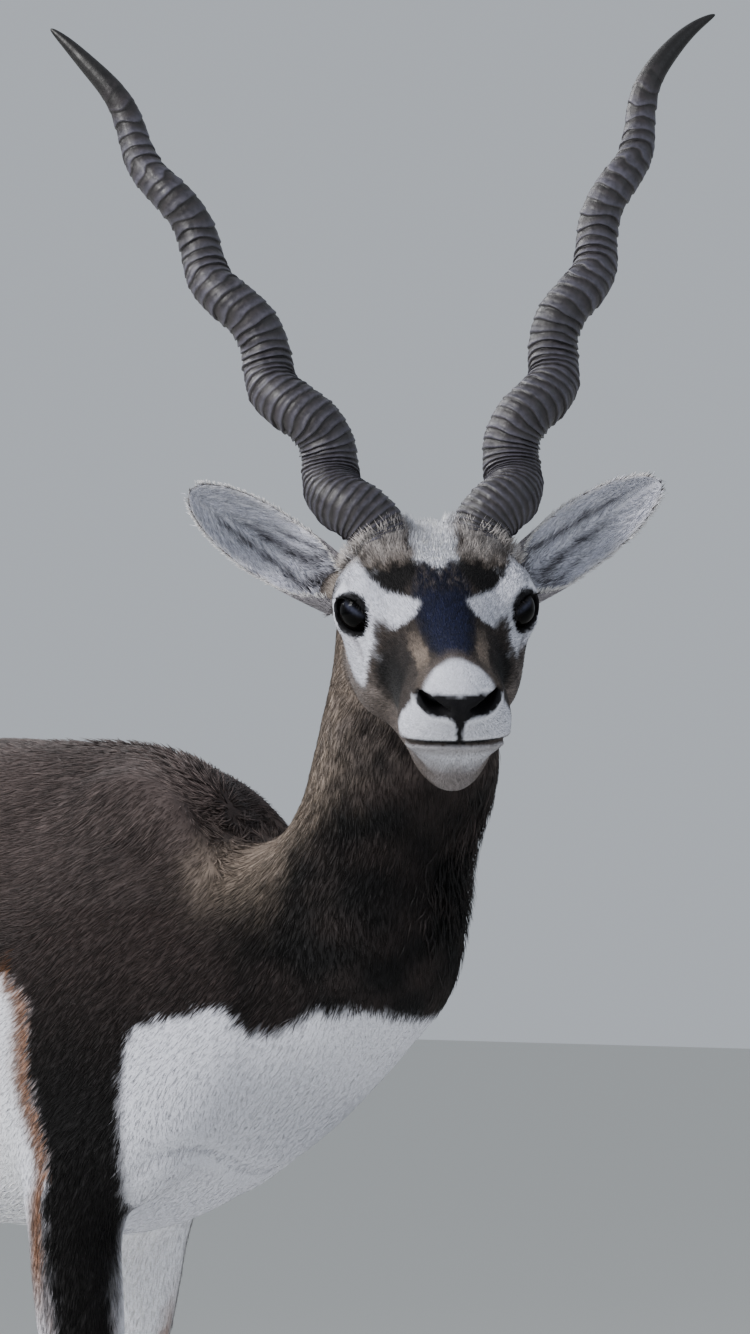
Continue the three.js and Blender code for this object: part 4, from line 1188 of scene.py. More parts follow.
for side, word in SIDES:
    seat, axis, out, front = horn_frame(side)
    values = {
        "Length": HORN_LENGTH, "Base Radius": HORN_BASE, "Turns": HORN_TURNS, "Swing": HORN_SWING,
        "Lean": HORN_LEAN[side], "Bow": HORN_BOW[side], "Hook": HORN_HOOK[side],
        "Ring Depth": 2.5, "Base Ring Gap": 2.7, "Ring Gap Growth": 9.6, "Material": HORN_MATERIAL,
    }
    horn = grown("ringed_horn_" + word, ringed, values, np.stack([out, front, axis]), seat)
    outward(horn)
    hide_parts("horn_" + word)
    print(horn.name, len(horn.data.vertices), "points")


# %% [markdown]
# An ear is a cupped leaf of gristle, thin at the rim and rolled at the root, pale inside with dark streaks.

# %% The ears' form
EAR_LENGTH, EAR_HALF = 112.0, 22.5
EAR_WALL, EAR_RIM = 2.6, 1.4  # how thick it is at the root and at the tip
ROOT_CURL, TIP_CURL = 150, 62  # how far round each half curls, in degrees


def ear_ways(side):
    """The way an ear points and, square to it, the way it opens, in the head's axes."""
    axis, way = np.array([-0.26, side * 0.82, 0.5]), np.array([0.87, side * 0.05, 0.46])
    return axis, way - axis * (way @ axis) / (axis @ axis)


def ear_points(side, u, v, inset):
    """Points of an ear: u is how far along it, v how far across, and inset is 0 on its back and 1 on its inside."""
    axis, opening = (way / np.linalg.norm(way) for way in ear_ways(side))
    wide = np.cross(axis, opening)
    leaf = (0.55 + 0.45 * np.sin(np.pi * np.minimum(u / 0.9, 1) * 0.5 + 0.35)) * np.sqrt(np.maximum(1 - u**3.2, 0.004))
    half = EAR_HALF * leaf
    curl = np.radians(ROOT_CURL + (TIP_CURL - ROOT_CURL) * step_up(u, 0, 0.45))
    radius = np.maximum(half / np.sin(np.minimum(curl, np.pi / 2)), EAR_WALL * 0.8)
    wall = EAR_WALL + (EAR_RIM - EAR_WALL) * u
    r = radius - inset * wall * (1 - 0.35 * np.abs(v))
    a = v * curl
    lift = -0.15 * radius - r * np.cos(a) + 9 * u * u
    return (
        np.array([-50.0, side * 50.0, -15.0])
        + axis * (u * EAR_LENGTH)[:, None]
        + wide * (r * np.sin(a))[:, None]
        + opening * lift[:, None]
    )


def ear_mesh(side):
    """A thin closed cup. Its outline is a loop of points across the back and then across the inside."""
    rows, half = 56, 25
    v = np.concatenate([np.linspace(-1, 1, half), np.linspace(1, -1, half)])
    inset = np.concatenate([np.zeros(half), np.ones(half)])
    u = np.linspace(0, 1, rows)
    uu, vv = np.repeat(u, 2 * half), np.tile(v, rows)
    ii = np.tile(inset, rows)
    p = ear_points(side, uu, vv, ii * 0.9)
    index, quads = ring_quads(rows, 2 * half)
    caps = []
    for row in (index[0], index[-1]):
        for k in range(half - 1):
            caps.append([row[k], row[k + 1], row[2 * half - 2 - k], row[2 * half - 1 - k]])
    caps = np.array(caps)
    caps[: half - 1] = caps[: half - 1, ::-1]
    return p, np.concatenate([quads, caps]), uu, vv, ii


# %% The ears' colours
def ear_colour(u, v, inside):
    """Brown-grey behind, and white inside with three dark streaks of thin hair and a dark root."""
    n = 0.08 * np.sin(u * 41 + v * 9) + 0.06 * np.sin(u * 87 - v * 17)
    back = mixed(np.tile(srgb(150, 146, 152), (len(u), 1)), GREY, step_up(u + n, 0.25, 0.5) * 0.9)
    back = mixed(back, BROWN, step_up(u, 0.6, 1.0) * 0.7)
    pale = mixed(np.tile(srgb(222, 223, 236), (len(u), 1)), WHITE, 0.45 + 0.4 * np.sin(u * 19 + v * 11))
    for at, width, top in ((-0.36, 0.10, 0.92), (0.2, 0.13, 0.75), (0.6, 0.06, 0.6)):
        gap = np.abs(v + 0.25 * n - at * (1 - 0.35 * u)) / (width * (1 + 1.5 * n))
        share = np.exp(-(gap**2)) * (0.72 + 1.2 * n) * step_up(u, 0.1, 0.25) * (1 - step_up(u, top - 0.25, top))
        pale = mixed(pale, srgb(52, 48, 58), share)
    pale = mixed(pale, srgb(50, 44, 50), (1 - step_up(u + n, 0.04, 0.24)) * 0.85)
    pale = mixed(pale, srgb(232, 231, 238), step_up(np.abs(v) + n, 0.84, 0.98) * 0.9)
    return np.where(inside[:, None] > 0.5, pale, back)


EAR_MATERIAL = hair_material("ear", 700, 0.0004, 0.75)
for side, word in SIDES:
    p, faces, u, v, inside = ear_mesh(side)
    ear = new_mesh("cupped_ear_" + word, from_head(p), faces)
    paint(ear, "coat", ear_colour(u, v, inside))
    ear.data.materials.append(EAR_MATERIAL)
    outward(ear)
    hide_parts("ear_" + word)
    print(ear.name, len(p), "points")

# %% [markdown]
# An antelope's eye is large, dark and wet. It is a ball with a low bulge over the iris, whose pupil is a level oval.

# %% Eyes
EYE_MATERIAL, nodes, links, shader = material("eye")
fibres = noise(nodes, links, 600, 4)
tone = shaded(nodes, links, attribute(nodes, "iris"), spread(nodes, links, fibres, 0.7, 1.3))
links.new(tone, shader.inputs["Base Color"])
shader.inputs["Roughness"].default_value = 0.06
shader.inputs["Specular IOR Level"].default_value = 0.06


def eyeball(side):
    """An eye's points, triangles and colours. Rings run round the gaze, from the front of the eye to its back."""
    across, up, gaze = lid_axes(1)
    rows, around = 56, 72
    polar = np.linspace(0, np.pi, rows)[1:-1]
    a = np.arange(around) * 2 * np.pi / around
    pp, aa = np.repeat(polar, around), np.tile(a, rows - 2)
    pp, aa = np.append(pp, [0, np.pi]), np.append(aa, [0, 0])
    bulge = 1.3 * np.clip(1 - (pp / 0.82) ** 2, 0, None) ** 1.5
    r = EYE_RADIUS - 0.35 + bulge
    local = np.stack([np.sin(pp) * np.cos(aa), np.sin(pp) * np.sin(aa), np.cos(pp)], 1) * r[:, None]
    p = local @ np.stack([across, up, gaze]) + (0, EYE_SIDE, 0)
    index, quads = ring_quads(rows - 2, around)
    top, bottom = len(pp) - 2, len(pp) - 1
    caps = [[top, index[0][k], index[0][(k + 1) % around]] for k in range(around)]
    caps += [[bottom, index[-1][(k + 1) % around], index[-1][k]] for k in range(around)]
    tri = np.concatenate([quads[:, [0, 3, 2]], quads[:, [0, 2, 1]], np.array(caps)])
    iris = step_up(pp, 0.60, 0.74)
    pupil = step_up(np.hypot(pp * np.cos(aa) / 0.42, pp * np.sin(aa) / 0.26), 0.85, 1.1)
    c = mixed(np.tile(srgb(3, 3, 4), (len(pp), 1)), srgb(9, 7, 7), pupil)
    c = mixed(c, srgb(6, 5, 6), iris)
    # A painted reflection of the sky: a level blue-grey bar above the eye's middle.
    height, reach = np.sin(pp) * np.sin(aa), np.sin(pp) * np.cos(aa)
    sky_reflection = np.exp(-(((height - 0.37 + 0.1 * reach**2) / 0.09) ** 2) - (reach / 0.5) ** 4) * (pp < 1.4)
    c = mixed(c, srgb(70, 73, 90), sky_reflection * 0.7)
    return p * (1, side, 1), tri, c


for side, word in SIDES:
    p, faces, c = eyeball(side)
    eye = new_mesh("eyeball_" + word, from_head(p), faces)
    paint(eye, "iris", c)
    eye.data.materials.append(EYE_MATERIAL)
    outward(eye)
    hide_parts("eye_" + word)
    print(eye.name, len(p), "points")

# %% [markdown]
# Each foot ends in two claws of horn, pointed at the toe and flat below. The wall shows growth lines round it and fine
# streaks down it.

# %% Hooves
HOOF_MATERIAL, nodes, links, shader = material("hoof")
bands = add(nodes, "ShaderNodeTexWave", wave_type="BANDS", bands_direction="Z", Scale=60, Distortion=3.0)
where = add(nodes, "ShaderNodeTexCoord")
links.new(where.outputs["Object"], bands.inputs["Vector"])
grain = noise(nodes, links, 240, 4, (1, 1, 0.15))
streaked = ramped(nodes, links, grain, (0.0, srgb(24, 20, 19)), (1.0, srgb(66, 58, 52)))
links.new(streaked, shader.inputs["Base Color"])
links.new(spread(nodes, links, grain, 0.35, 0.6), shader.inputs["Roughness"])
bumped(nodes, links, shader, bands.outputs["Fac"], 0.0003, 0.5)


CLAW_HEIGHT, CLAW_HALF_LENGTH, CLAW_HALF_WIDTH, CLAW_APART, CLAW_SLOPE = 31, 25, 8, 8.9, 15.5


def claw_mesh(leg, turned):
    """Rings of points from the ground up, drawn in towards the ground's edge, leaning back and parted from its twin."""
    hoof, around = leg["hoof"], 40
    a = np.arange(around) * 2 * np.pi / around
    levels = np.array([0, 0.03, 0.1, 0.25, 0.4, 0.55, 0.7, 0.85, 1.0, 1.08, 1.14])
    rings = []
    for h in levels:
        ease = 1 - 0.05 * (1 - min(h / 0.08, 1))
        x = CLAW_HALF_LENGTH * np.cos(a) * ease
        wide = np.where(np.sin(a) * turned > 0, 1.15, 0.75)
        y = CLAW_HALF_WIDTH * np.sin(a) * (1 - 0.55 * np.maximum(0, np.cos(a)) ** 2) * wide * ease
        ahead = hoof[0] + x * (1 - 0.1 * h) - h * CLAW_SLOPE + 6
        aside = hoof[1] + turned * CLAW_APART + y * (1 - 0.06 * h)
        rings.append(np.stack([ahead, aside, np.full(around, h * CLAW_HEIGHT)], 1))
    p = np.concatenate(rings)
    # The top slopes back along the coronet, just inside the hair.
    above = (p - (hoof[0], hoof[1], CORONET_HEIGHT)) @ CORONET
    p[:, 2] -= np.maximum(above - 0.6, 0) / CORONET[2]
    index, quads = ring_quads(len(levels), around)
    tri = [quads[:, [0, 1, 2]], quads[:, [0, 2, 3]]]
    for row, back in ((index[0], True), (index[-1], False)):
        fan = np.stack([np.full(around - 2, row[0]), row[1:-1], row[2:]], 1)
        tri.append(fan[:, ::-1] if back else fan)
    return p, np.concatenate(tri)


for name, leg in LEGS.items():
    for word, turned in (("in", -1), ("out", 1)):
        p, faces = claw_mesh(leg, turned)
        claw = new_mesh(f"{name}_toe_{word}", p, faces)
        claw.data.materials.append(HOOF_MATERIAL)
        outward(claw)
        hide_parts(f"{name}_claw_{word}")
print("each of", 2 * len(LEGS), "claws has", len(p), "points")

# %% [markdown]
# The coat is short, close hair that lies back along the body, down the legs and away from the nose, with a rough crest
# on the withers. A few hairs that lie together are one solid sliver, rooted in the skin and coming to a point down the
# flow.


# %% How the hair lies
def unit(v):
    return v / np.maximum(np.linalg.norm(v, axis=1), 1e-9)[:, None]


def lie_of_hair(p, normal, parts):
    """The way hair lies at each point, along the skin. Each part of the body has its own, shared where they meet."""
    h = parts[4]
    x, y, z = p.T
    weight = [np.exp(-np.clip(d, -8, 80) / 14) for d in parts[:4]]
    weight[3] = weight[3] * (x > 150)
    back = np.stack([-np.ones(len(p)), 0 * y, -0.28 - 0.35 * step_up(700 - z, 0, 120)], 1)
    down_leg = np.stack([-0.16 - 0.5 * step_up(z, 480, 620), 0 * y, -np.ones(len(p))], 1)
    down_neck = np.stack([-0.35 + 0.25 * step_up(x, 150, 230), 0 * y, -1.0 + 0 * z], 1)
    from_nose = unit(h - (132, 0, -2)) + (-0.45, 0, 0)
    off_nose = from_nose @ HEAD_AXES.T
    flow = sum(w[:, None] * unit(v) for w, v in zip(weight, (back, down_leg, down_neck, off_nose)))
    down_tail = (x < -592) & (np.abs(y) < 26) & (z > 570)
    flow[down_tail] = (-0.2, 0, -1)
    swirl = np.stack([ripple(p, 70, 21), ripple(p, 70, 22), ripple(p, 70, 23)], 1) * 0.14
    flow = unit(flow) + swirl
    return unit(flow - normal * (flow * normal).sum(1)[:, None])


# %% Roots and slivers
def scattered(points, faces, normals, uv, density, seed):
    """Roots spread over a mesh at so many for each square centimetre: their places, outward ways and map places."""
    rng = np.random.default_rng(seed)
    a, b, c = (points[faces[:, k]] for k in range(3))
    weight = np.linalg.norm(np.cross(b - a, c - a), axis=1) / 200 * density
    count = int(weight.sum())
    # Even steps through the running total spread the roots more evenly than plain chance does.
    totals = np.cumsum(weight)
    marks = (np.arange(count) + rng.uniform(0, 1, count)) / count * totals[-1]
    chosen = np.minimum(np.searchsorted(totals, marks), len(faces) - 1)
    s, t = rng.uniform(0, 1, (2, count))
    s, t = np.where(s + t > 1, 1 - s, s), np.where(s + t > 1, 1 - t, t)
    share = np.stack([1 - s - t, s, t], 1)[:, :, None]
    tri = faces[chosen]
    return (points[tri] * share).sum(1), unit((normals[tri] * share).sum(1)), (uv[chosen] * share).sum(1)


# Points of a sliver: how far along it, across it and up. A short one is straight, and a long one bends in its middle.
SHORT = np.array([(0.0, -1.0, 0.0), (0.0, 1.0, 0.0), (0.0, 0.0, 1.0), (1.0, 0.0, 0.0)])
SHORT_FACES = np.array([(0, 1, 2), (0, 3, 1), (1, 3, 2), (2, 3, 0)])
LONG = np.array([
    (0.0, -1.0, 0.0), (0.0, 1.0, 0.0), (0.0, 0.0, 1.0),
    (0.5, -0.75, 0.0), (0.5, 0.75, 0.0), (0.5, 0.0, 0.8), (1.0, 0.0, 0.0),
])
LONG_FACES = np.array([
    (0, 1, 2), (0, 3, 4), (0, 4, 1), (1, 4, 5), (1, 5, 2), (2, 5, 3), (2, 3, 0), (3, 6, 4), (4, 6, 5), (5, 6, 3),
])
MAP_NAME = "OFBake"
PIECE_LIMIT = 199000  # triangles in one piece of the coat
coat_counts = []


def grow(
    name, root, normal, flow, length, width, lift, colour, uv, seed, field=None, long=False, spread=0.14, dip=0.5
):
    """Hair as closed slivers, in pieces of limited size. lift is how high the tips stand over the skin."""
    rng = np.random.default_rng(seed)
    shape, shape_faces = (LONG, LONG_FACES) if long else (SHORT, SHORT_FACES)
    count, each = len(root), len(shape)
    # Pale hair lies flatter and straighter, as its shadows would show as strokes.
    calm = np.interp(colour.mean(1), [0.2, 0.6], [1.0, 0.4])
    flow = unit(flow + np.cross(normal, flow) * (rng.normal(0, spread, count) * calm)[:, None])
    across = np.cross(flow, normal)
    length = length * rng.uniform(0.72, 1.25, count)
    width = width * rng.uniform(0.75, 1.25, count)
    height = lift * rng.uniform(0.6, 1.3, count)
    base = root - normal * dip
    tip = root + flow * length[:, None]
    middle = root + flow * (0.5 * length)[:, None]
    if field is not None:  # the hair follows the skin's curve
        tip += normal * (height - field(tip))[:, None]
        if long:
            middle += normal * (0.62 * height - field(middle))[:, None]
    else:
        tip += normal * height[:, None]
        middle += normal * (0.62 * height)[:, None]
    tip += across * (rng.normal(0, 0.08, count) * length)[:, None]
    spine = np.stack([{0.0: base, 0.5: middle, 1.0: tip}[at] for at in shape[:, 0]], 1)
    p = spine + across[:, None, :] * (shape[None, :, 1:2] * width[:, None, None] / 2)
    p = p + normal[:, None, :] * (shape[None, :, 2:3] * ((0.2 * width + (0.0 if long else 0.25)) * calm)[:, None, None])
    # A sliver's place on the map is a small diamond round its root's.
    patch = uv[:, None, :] + (shape[:, :2] * (0.0026, 0.0012) - (0.0013, 0))[None]
    # Slivers differ a little in shade, and each is paler at its tip. Dark hair differs more.
    shade = rng.normal(0, 1, count)
    strength = np.interp(colour.mean(1), [0.0, 0.15, 0.5], [0.34, 0.2, 0.035])
    limit = PIECE_LIMIT // len(shape_faces)
    pieces = -(-count // limit)
    size = -(-count // pieces)
    for k in range(pieces):
        part = slice(k * size, min((k + 1) * size, count))
        here = part.stop - part.start
        faces = (shape_faces[None] + each * np.arange(here)[:, None, None]).reshape(-1, 3)
        piece = new_mesh(f"{name}_{k + 1}" if pieces > 1 else name, p[part].reshape(-1, 3), faces)
        to_tip = 1.3 * strength[part, None, None] * (shape[None, :, :1] - 0.5)
        tint = np.exp((strength * shade)[part, None, None] + to_tip)
        paint(piece, "coat", np.clip(colour[part, None, :] * tint, 0, 0.9).reshape(-1, 3))
        layer = piece.data.uv_layers.new(name=MAP_NAME)
        layer.data.foreach_set("uv", patch[part].reshape(-1, 2)[faces.ravel()].astype(np.float32).ravel())
        piece.data.materials.append(HAIR_MATERIAL)
    coat_counts.append(count * len(shape_faces))
    print(name, count, "slivers in", pieces, "pieces")


# %% The skin's map
def unwrapped(obj):
    """Unwraps an object by the way its faces look, and gives each triangle's three map places."""
    bpy.context.view_layer.objects.active = obj
    for other in bpy.context.selected_objects:
        other.select_set(False)
    obj.select_set(True)
    obj.data.uv_layers.new(name=MAP_NAME)
    bpy.ops.object.mode_set(mode="EDIT")
    bpy.ops.mesh.select_all(action="SELECT")
    bpy.ops.uv.smart_project(angle_limit=math.radians(60), island_margin=0.002)
    bpy.ops.object.mode_set(mode="OBJECT")
    obj.select_set(False)
    uv = np.empty(len(obj.data.loops) * 2, np.float32)
    obj.data.uv_layers[MAP_NAME].data.foreach_get("uv", uv)
    return uv.reshape(-1, 3, 2).astype(float)


skin_uv = unwrapped(skin_obj)
print("the skin's map holds", len(skin_uv), "triangles")


# %% The body's coat
def taken(chosen, *arrays):
    return [a[chosen] for a in arrays]


face_middle = skin_points[skin_faces].mean(1)
trunk, limbs, neck, head, h = parts_of_flesh(face_middle)
x, y, z = face_middle.T
on_face = (head < neck - 4) & (h[:, 0] > -62) & (x > 150)
shank_share = step_up(400 - z, 0, 120) * (limbs < trunk)
density = np.where(on_face, 0, 25 + 14 * shank_share)
density = np.where(z < 36, 8, density)
root, normal, uv = scattered(skin_points, skin_faces, skin_normals, skin_uv, density, 11)
parts = parts_of_flesh(root)
trunk, limbs, neck, head, h = parts
x, y, z = root.T
flow = lie_of_hair(root, normal, parts)
shank_share = step_up(400 - z, 0, 120) * (limbs < trunk)
length = 11 - 4.5 * shank_share
width = 1.3 - 0.45 * shank_share
lift = 0.5 * coat_depth(root, h) + 0.3
# A sliver takes the colour that its middle lies over, so that the edges of the markings stay where they belong.
colour = markings(root + flow * (0.4 * length)[:, None])
pale = step_up(colour.mean(1), 0.2, 0.6)
lift, width, length = lift * (1 - 0.7 * pale), width * (1 - 0.3 * pale), length * (1 - 0.2 * pale)
grow("body_fur", root, normal, flow, length, width, lift, colour, uv, 32, field=skin)

# %% The crest, throat, belly and tail
# Longer hair stands on the withers, thickens the front of the neck, fringes the belly and hangs from the tail.
crest = np.exp(-((y / 15) ** 2)) * step_up(z, 705, 745) * step_up(x, -90, -10) * (x < 125) * (normal[:, 2] > 0.3)
tail = ((x < -594) & (np.abs(y) < 26) & (z > 566)).astype(float)
belly = step_up(535 - z, 0, 30) * (limbs > trunk + 10) * (x < 0) * 0.25
throat = np.exp(-(((z - 714) / 34) ** 2)) * step_up(normal @ (0.82, 0.52, 0.1), 0.35, 0.8) * (neck < 12)
rng = np.random.default_rng(5)
chosen = rng.uniform(0, 1, len(root)) < 0.6 * crest + 0.9 * tail + 0.8 * throat + belly  # the chance of a long hair
r, n, w, c, m, is_crest, is_tail, is_throat = taken(chosen, root, normal, flow, colour, uv, crest, tail, throat)
w = unit(w + n * (0.04 * is_crest)[:, None])
length = 14 + 1.5 * is_crest + 11 * is_tail
lift = 1.6 + 2.0 * is_crest + 2 * is_tail + 4.2 * is_throat
c = mixed(c, BROWN, is_crest * 0.35)
grow("long_fur", r, n, w, length, 1.5, lift, c, m, 41, field=skin, long=True, spread=0.24)

# %% [markdown]
# Hair on the face is a few millimetres long and lies away from the nose. None grows on the nose pad, the lips' edges or
# between the lids. Round the foot of each horn it stands up in a collar, and the upper lid has lashes.


# %% The face's coat
def face_is_bare(h):
    """Whether no hair grows at points of the head: in the eye, on the nose pad and its stem, the lips and nostrils."""
    f, l, u = h[:, 0], np.abs(h[:, 1]), h[:, 2]
    folded = np.stack([f, l, u], 1)
    along, up, out = eye_coords(folded)
    away = np.linalg.norm(folded - (0, EYE_SIDE, 0), axis=1)
    in_eye = (np.abs(along) < 16.0) & (up < 12.5) & (up > -10.5) & (out > 0) & (away < 21)
    low = np.interp(l, *PAD_LOW)
    pad = (u < np.interp(l, *PAD_TOP) + 0.3) & (u > low - 1.2) & (l < 26) & (f > 102)
    stem = (l < 2.6) & (u < -5) & (u > -24) & (f > 104)
    lips = (path_gap(f, u, MOUTH)[0] < 1.5) & (f > 70)
    nostril = (path_gap(l, u, NOSTRIL)[0] < 3.6) & (f > 100)
    return in_eye | pad | stem | lips | nostril


face_h = to_head(face_middle)
muzzle = step_up(face_h[:, 0], 50, 100)
density = np.where(on_face & ~face_is_bare(face_h), 85 + 60 * muzzle, 0)
root, normal, uv = scattered(skin_points, skin_faces, skin_normals, skin_uv, density, 12)
keep = ~face_is_bare(to_head(root))
root, normal, uv = taken(keep, root, normal, uv)
parts = parts_of_flesh(root)
h = parts[4]
f = h[:, 0]
flow = lie_of_hair(root, normal, parts)
colour = markings(root + flow * 1.5)
crown_to_nose = [-62, -25, 40, 100]
length = np.interp(f, crown_to_nose, [8.0, 6.0, 4.8, 3.0])
width = np.interp(f, crown_to_nose, [1.1, 0.9, 0.8, 0.6])
lift = np.interp(f, crown_to_nose, [1.4, 0.9, 0.6, 0.4])
crown = np.exp(-((h[:, 1] / 22) ** 2)) * step_up(h[:, 2], 16, 24) * step_up(-f, 10, 34)
length, lift = length + 3 * crown, lift + 2.2 * crown
grow("face_fur", root, normal, flow, length, width, lift, colour, uv, 31, field=skin, dip=0.3, spread=0.2)

# %% Collars round the horns
nearest = kdtree.KDTree(len(face_middle))
for k in np.flatnonzero(on_face):
    nearest.insert(face_middle[k], int(k))
nearest.balance()


def map_place(p):
    """Where each point lies on the skin's map."""
    return np.array([skin_uv[nearest.find(q)[1]].mean(0) for q in p])


COLLAR_HAIRS = 1150
collar_root, collar_way, collar_normal = [], [], []
for side in (-1, 1):
    seat, axis, out, front = horn_frame(side)
    rng = np.random.default_rng(61 + side)
    count = COLLAR_HAIRS
    a = rng.uniform(0, 2 * np.pi, count)
    radial = np.cos(a)[:, None] * out + np.sin(a)[:, None] * front
    spot_h = seat + radial * rng.uniform(19, 26.5, count)[:, None] - axis * 3
    spot_p, spot_n = settle(skin, from_head(spot_h), 3)
    near = np.linalg.norm(to_head(spot_p) - spot_h, axis=1) < 14
    collar_root.append(spot_p[near])
    collar_way.append(along_head(unit(axis * 1.0 + radial * 0.06 + rng.normal(0, 0.2, (count, 3)))[near]))
    collar_normal.append(spot_n[near])
root, way, normal = (np.concatenate(a) for a in (collar_root, collar_way, collar_normal))
lie_n = np.cross(unit(np.cross(way, normal)), way)
length, colour = np.full(len(root), 9.5), markings(root)
grow(
    "horn_collar", root, lie_n, way, length, 0.85, 0.0, colour, map_place(root), 62, long=True, spread=0.3
)

# %% Lashes
LASHES, LASH_START = 30, 17.4  # how many on each lid, and how far their roots are from the eye's middle
lash_root, lash_way = [], []
across_lid, up_lid, gaze = lid_axes(1)
for side in (-1, 1):
    s = np.linspace(-11.5, 12, LASHES)
    share = np.clip(1 - (s / LID_HALF) ** 2, 0, 1)
    up_at = LID_TOP * share**0.8 + 0.6
    out_at = np.sqrt(np.maximum(LASH_START**2 - s**2 - up_at**2, 25))
    q = (0, EYE_SIDE, 0) + s[:, None] * across_lid + up_at[:, None] * up_lid + out_at[:, None] * gaze
    fan = gaze * 0.8 + up_lid * 0.1 + across_lid * (s / 14)[:, None]
    lash_root.append(from_head(q * (1, side, 1)))
    lash_way.append(along_head(unit(fan) * (1, side, 1)))
root, way = np.concatenate(lash_root), np.concatenate(lash_way)
lie_n = unit(np.cross(np.cross(way, along_head([0, 0, 1.0])[None]), way))
length, dark = np.full(len(root), 6.5), np.tile(srgb(14, 12, 13), (len(root), 1))
grow("eyelashes", root, lie_n, way, length, 0.8, -1.5, dark, map_place(root), 63, long=True, spread=0.1)

# %% Hair of the ears
def ear_map(u, v, start):
    """A place on an ear's own map, where its inside and its back lie side by side."""
    return np.stack([start + 0.22 * (v + 1), 0.02 + 0.96 * u], 1)


INNER_MAP, OUTER_MAP = 0.02, 0.52
# Each face of an ear: its map, slivers to a square centimetre, their length, lift and lean, and a seed.
EAR_COATS = {"outer": (OUTER_MAP, 60.0, 4.5, 0.5, 0.0, 71), "inner": (INNER_MAP, 34.0, 7.0, 1.1, 0.25, 72)}
FRINGE_HAIRS = 700
for side, word in SIDES:
    p, quads, u, v, inside = ear_mesh(side)
    tri = np.concatenate([quads[:, [0, 1, 2]], quads[:, [0, 2, 3]]])
    ear = bpy.data.objects["cupped_ear_" + word]
    flat = ear_map(u, v, np.where(inside > 0.5, INNER_MAP, OUTER_MAP))
    layer = ear.data.uv_layers.new(name=MAP_NAME)
    loops = np.empty(len(ear.data.loops), np.int32)
    ear.data.loops.foreach_get("vertex_index", loops)
    layer.data.foreach_set("uv", flat[loops].astype(np.float32).ravel())
    world = from_head(p)
    face_way = np.cross(world[tri[:, 1]] - world[tri[:, 0]], world[tri[:, 2]] - world[tri[:, 0]])
    normals = np.zeros_like(world)
    for k in range(3):
        np.add.at(normals, tri[:, k], face_way)
    normals = unit(normals)
    axis, opening = (along_head(way) for way in ear_ways(side))
    normals = normals * (-1 if np.sum(normals[inside < 0.5] @ opening) > 0 else 1)
    tri_in = inside[tri].mean(1)
    for part, (start, dense, size, stand, lean, seed) in EAR_COATS.items():
        mask = (tri_in < 0.5) if part == "outer" else (tri_in > 0.5)
        root, normal, uv = scattered(world, tri, normals, flat[tri], np.where(mask, dense, 0.0), seed + side)
        at_v, at_u = (uv[:, 0] - start) / 0.22 - 1, (uv[:, 1] - 0.02) / 0.96
        colour = ear_colour(at_u, at_v, np.full(len(at_u), part == "inner"))
        sideways = np.sign(at_v)[:, None] * unit(np.cross(np.tile(axis, (len(root), 1)), normal)) * side
        way = axis + lean * sideways
        way = unit(way - normal * (way * normal).sum(1)[:, None])
        length, lift = np.full(len(root), size), np.full(len(root), stand)
        grow(f"ear_{part}_{word}", root, normal, way, length, 0.85, lift, colour, uv, seed, dip=0.2)
    # A white fringe stands along both edges of the cup.
    rng = np.random.default_rng(75 + side)
    count = FRINGE_HAIRS
    at_u, edge = rng.uniform(0.06, 0.985, count), rng.choice([-1.0, 1.0], count)
    at_v = edge * rng.uniform(0.9, 1.0, count)
    root = from_head(ear_points(side, at_u, at_v, np.full(count, 0.5)))
    rim_in = from_head(ear_points(side, at_u, at_v * 0.8, np.full(count, 0.5)))
    outward_way = unit(root - rim_in)
    way = unit(axis * 0.9 + outward_way * (0.75 - 0.3 * at_u)[:, None] + rng.normal(0, 0.08, (count, 3)))
    lie_n = unit(np.cross(np.cross(way, opening[None]), way))
    colour, uv = np.tile(srgb(226, 224, 226), (count, 1)), ear_map(at_u, at_v, INNER_MAP)
    length, lift = 6.5 - 2.5 * at_u, np.zeros(count)
    grow("ear_fringe_" + word, root, lie_n, way, length, 0.9, lift, colour, uv, 78 + side, long=True, dip=0.3)
print("the coat has", sum(coat_counts), "triangles")
FLESH = ["torso", "neck", "head", "tail"] + [f"{leg}_{part}" for leg in LEGS for part in ("upper", "lower")]
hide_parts(*FLESH)

# %% [markdown]
# The camera stands where the photographer's did, level with the chest and turned 40 degrees from the animal's own
# heading. A long lens keeps the horns and body in true proportion.


# %% Floor and sky
def stage_point(p):
    return Vector((np.array(p) + ORIGIN) / 1000)


floor_material, nodes, links, shader = material("floor")
shader.inputs["Base Color"].default_value = (*srgb(214, 214, 210), 1)
shader.inputs["Roughness"].default_value = 0.9
floor_middle, floor_half = stage_point((-150, 0, 0)), 14.0
corners = [
    (floor_middle.x + a * floor_half, floor_middle.y + b * floor_half, 0)
    for a, b in ((-1, -1), (1, -1), (1, 1), (-1, 1))
]
floor_mesh = bpy.data.meshes.new("floor")
floor_mesh.from_pydata(corners, [], [(0, 1, 2, 3)])
floor_mesh.materials.append(floor_material)
floor = bpy.data.objects.new("floor", floor_mesh)
bpy.context.scene.collection.objects.link(floor)

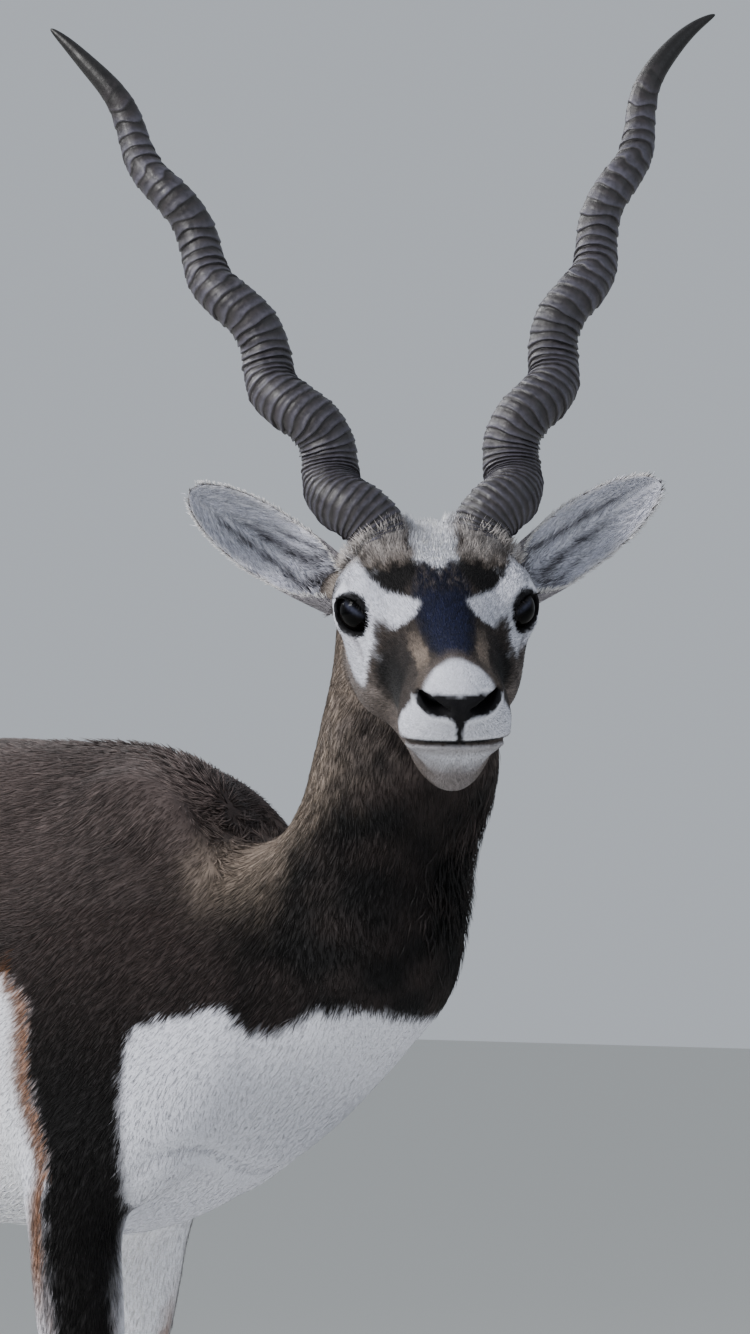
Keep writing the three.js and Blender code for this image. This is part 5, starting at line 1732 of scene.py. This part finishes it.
world = bpy.data.worlds.new("studio")
bpy.context.scene.world = world
world.use_nodes = True
sky = world.node_tree.nodes["Background"]
sky.inputs["Color"].default_value = (0.86, 0.92, 1.0, 1)
sky.inputs["Strength"].default_value = 0.55
print("the floor is", 2 * floor_half, "m wide under a pale even sky")

# %% Lamps
VIEW_TURN = math.radians(40)
RIGHT = Vector((math.cos(VIEW_TURN), math.sin(VIEW_TURN), 0))
BACK = Vector((math.sin(VIEW_TURN), -math.cos(VIEW_TURN), 0))


def lamp(name, offset, size, power, colour=(1, 1, 1)):
    """A soft square lamp, set off from the chest by metres to the right, back towards the camera, and up."""
    light = bpy.data.lights.new(name, "AREA")
    light.shape, light.size, light.energy, light.color = "SQUARE", size, power, colour
    made = bpy.data.objects.new(name, light)
    bpy.context.scene.collection.objects.link(made)
    target = stage_point((60, 0, 700))
    made.location = target + RIGHT * offset[0] + BACK * offset[1] + Vector((0, 0, offset[2]))
    made.rotation_euler = (target - made.location).to_track_quat("-Z", "Y").to_euler()
    print(name, "lamp,", power, "W")


lamp("key", (-2.9, 1.6, 2.5), 1.4, 185, (1.0, 0.99, 0.97))
lamp("fill", (2.6, 2.2, 2.0), 2.6, 18, (0.9, 0.95, 1.0))
lamp("rim", (-2.4, -2.2, 2.2), 1.8, 85)

# %% Camera
CAMERA_AWAY, AIM_RIGHT, AIM_HEIGHT = 6.89, 0.1395, 836.5
camera = bpy.data.objects.new("camera", bpy.data.cameras.new("camera"))
bpy.context.scene.collection.objects.link(camera)
camera.data.lens = 300
camera.data.sensor_fit = "VERTICAL"
camera.data.sensor_height = 36
camera.data.clip_end = 60
aim = stage_point((0, 0, AIM_HEIGHT)) + RIGHT * AIM_RIGHT
camera.location = aim + BACK * CAMERA_AWAY
camera.rotation_euler = (-BACK).to_track_quat("-Z", "Y").to_euler()
bpy.context.scene.camera = camera
print("the camera stands", CAMERA_AWAY, "m away with a", camera.data.lens, "mm lens")

# %% Every piece moves with the animal's one body
for piece in [o for o in bpy.context.scene.objects if o.type == "MESH" and o is not floor and "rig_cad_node" not in o]:
    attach(piece, "root")
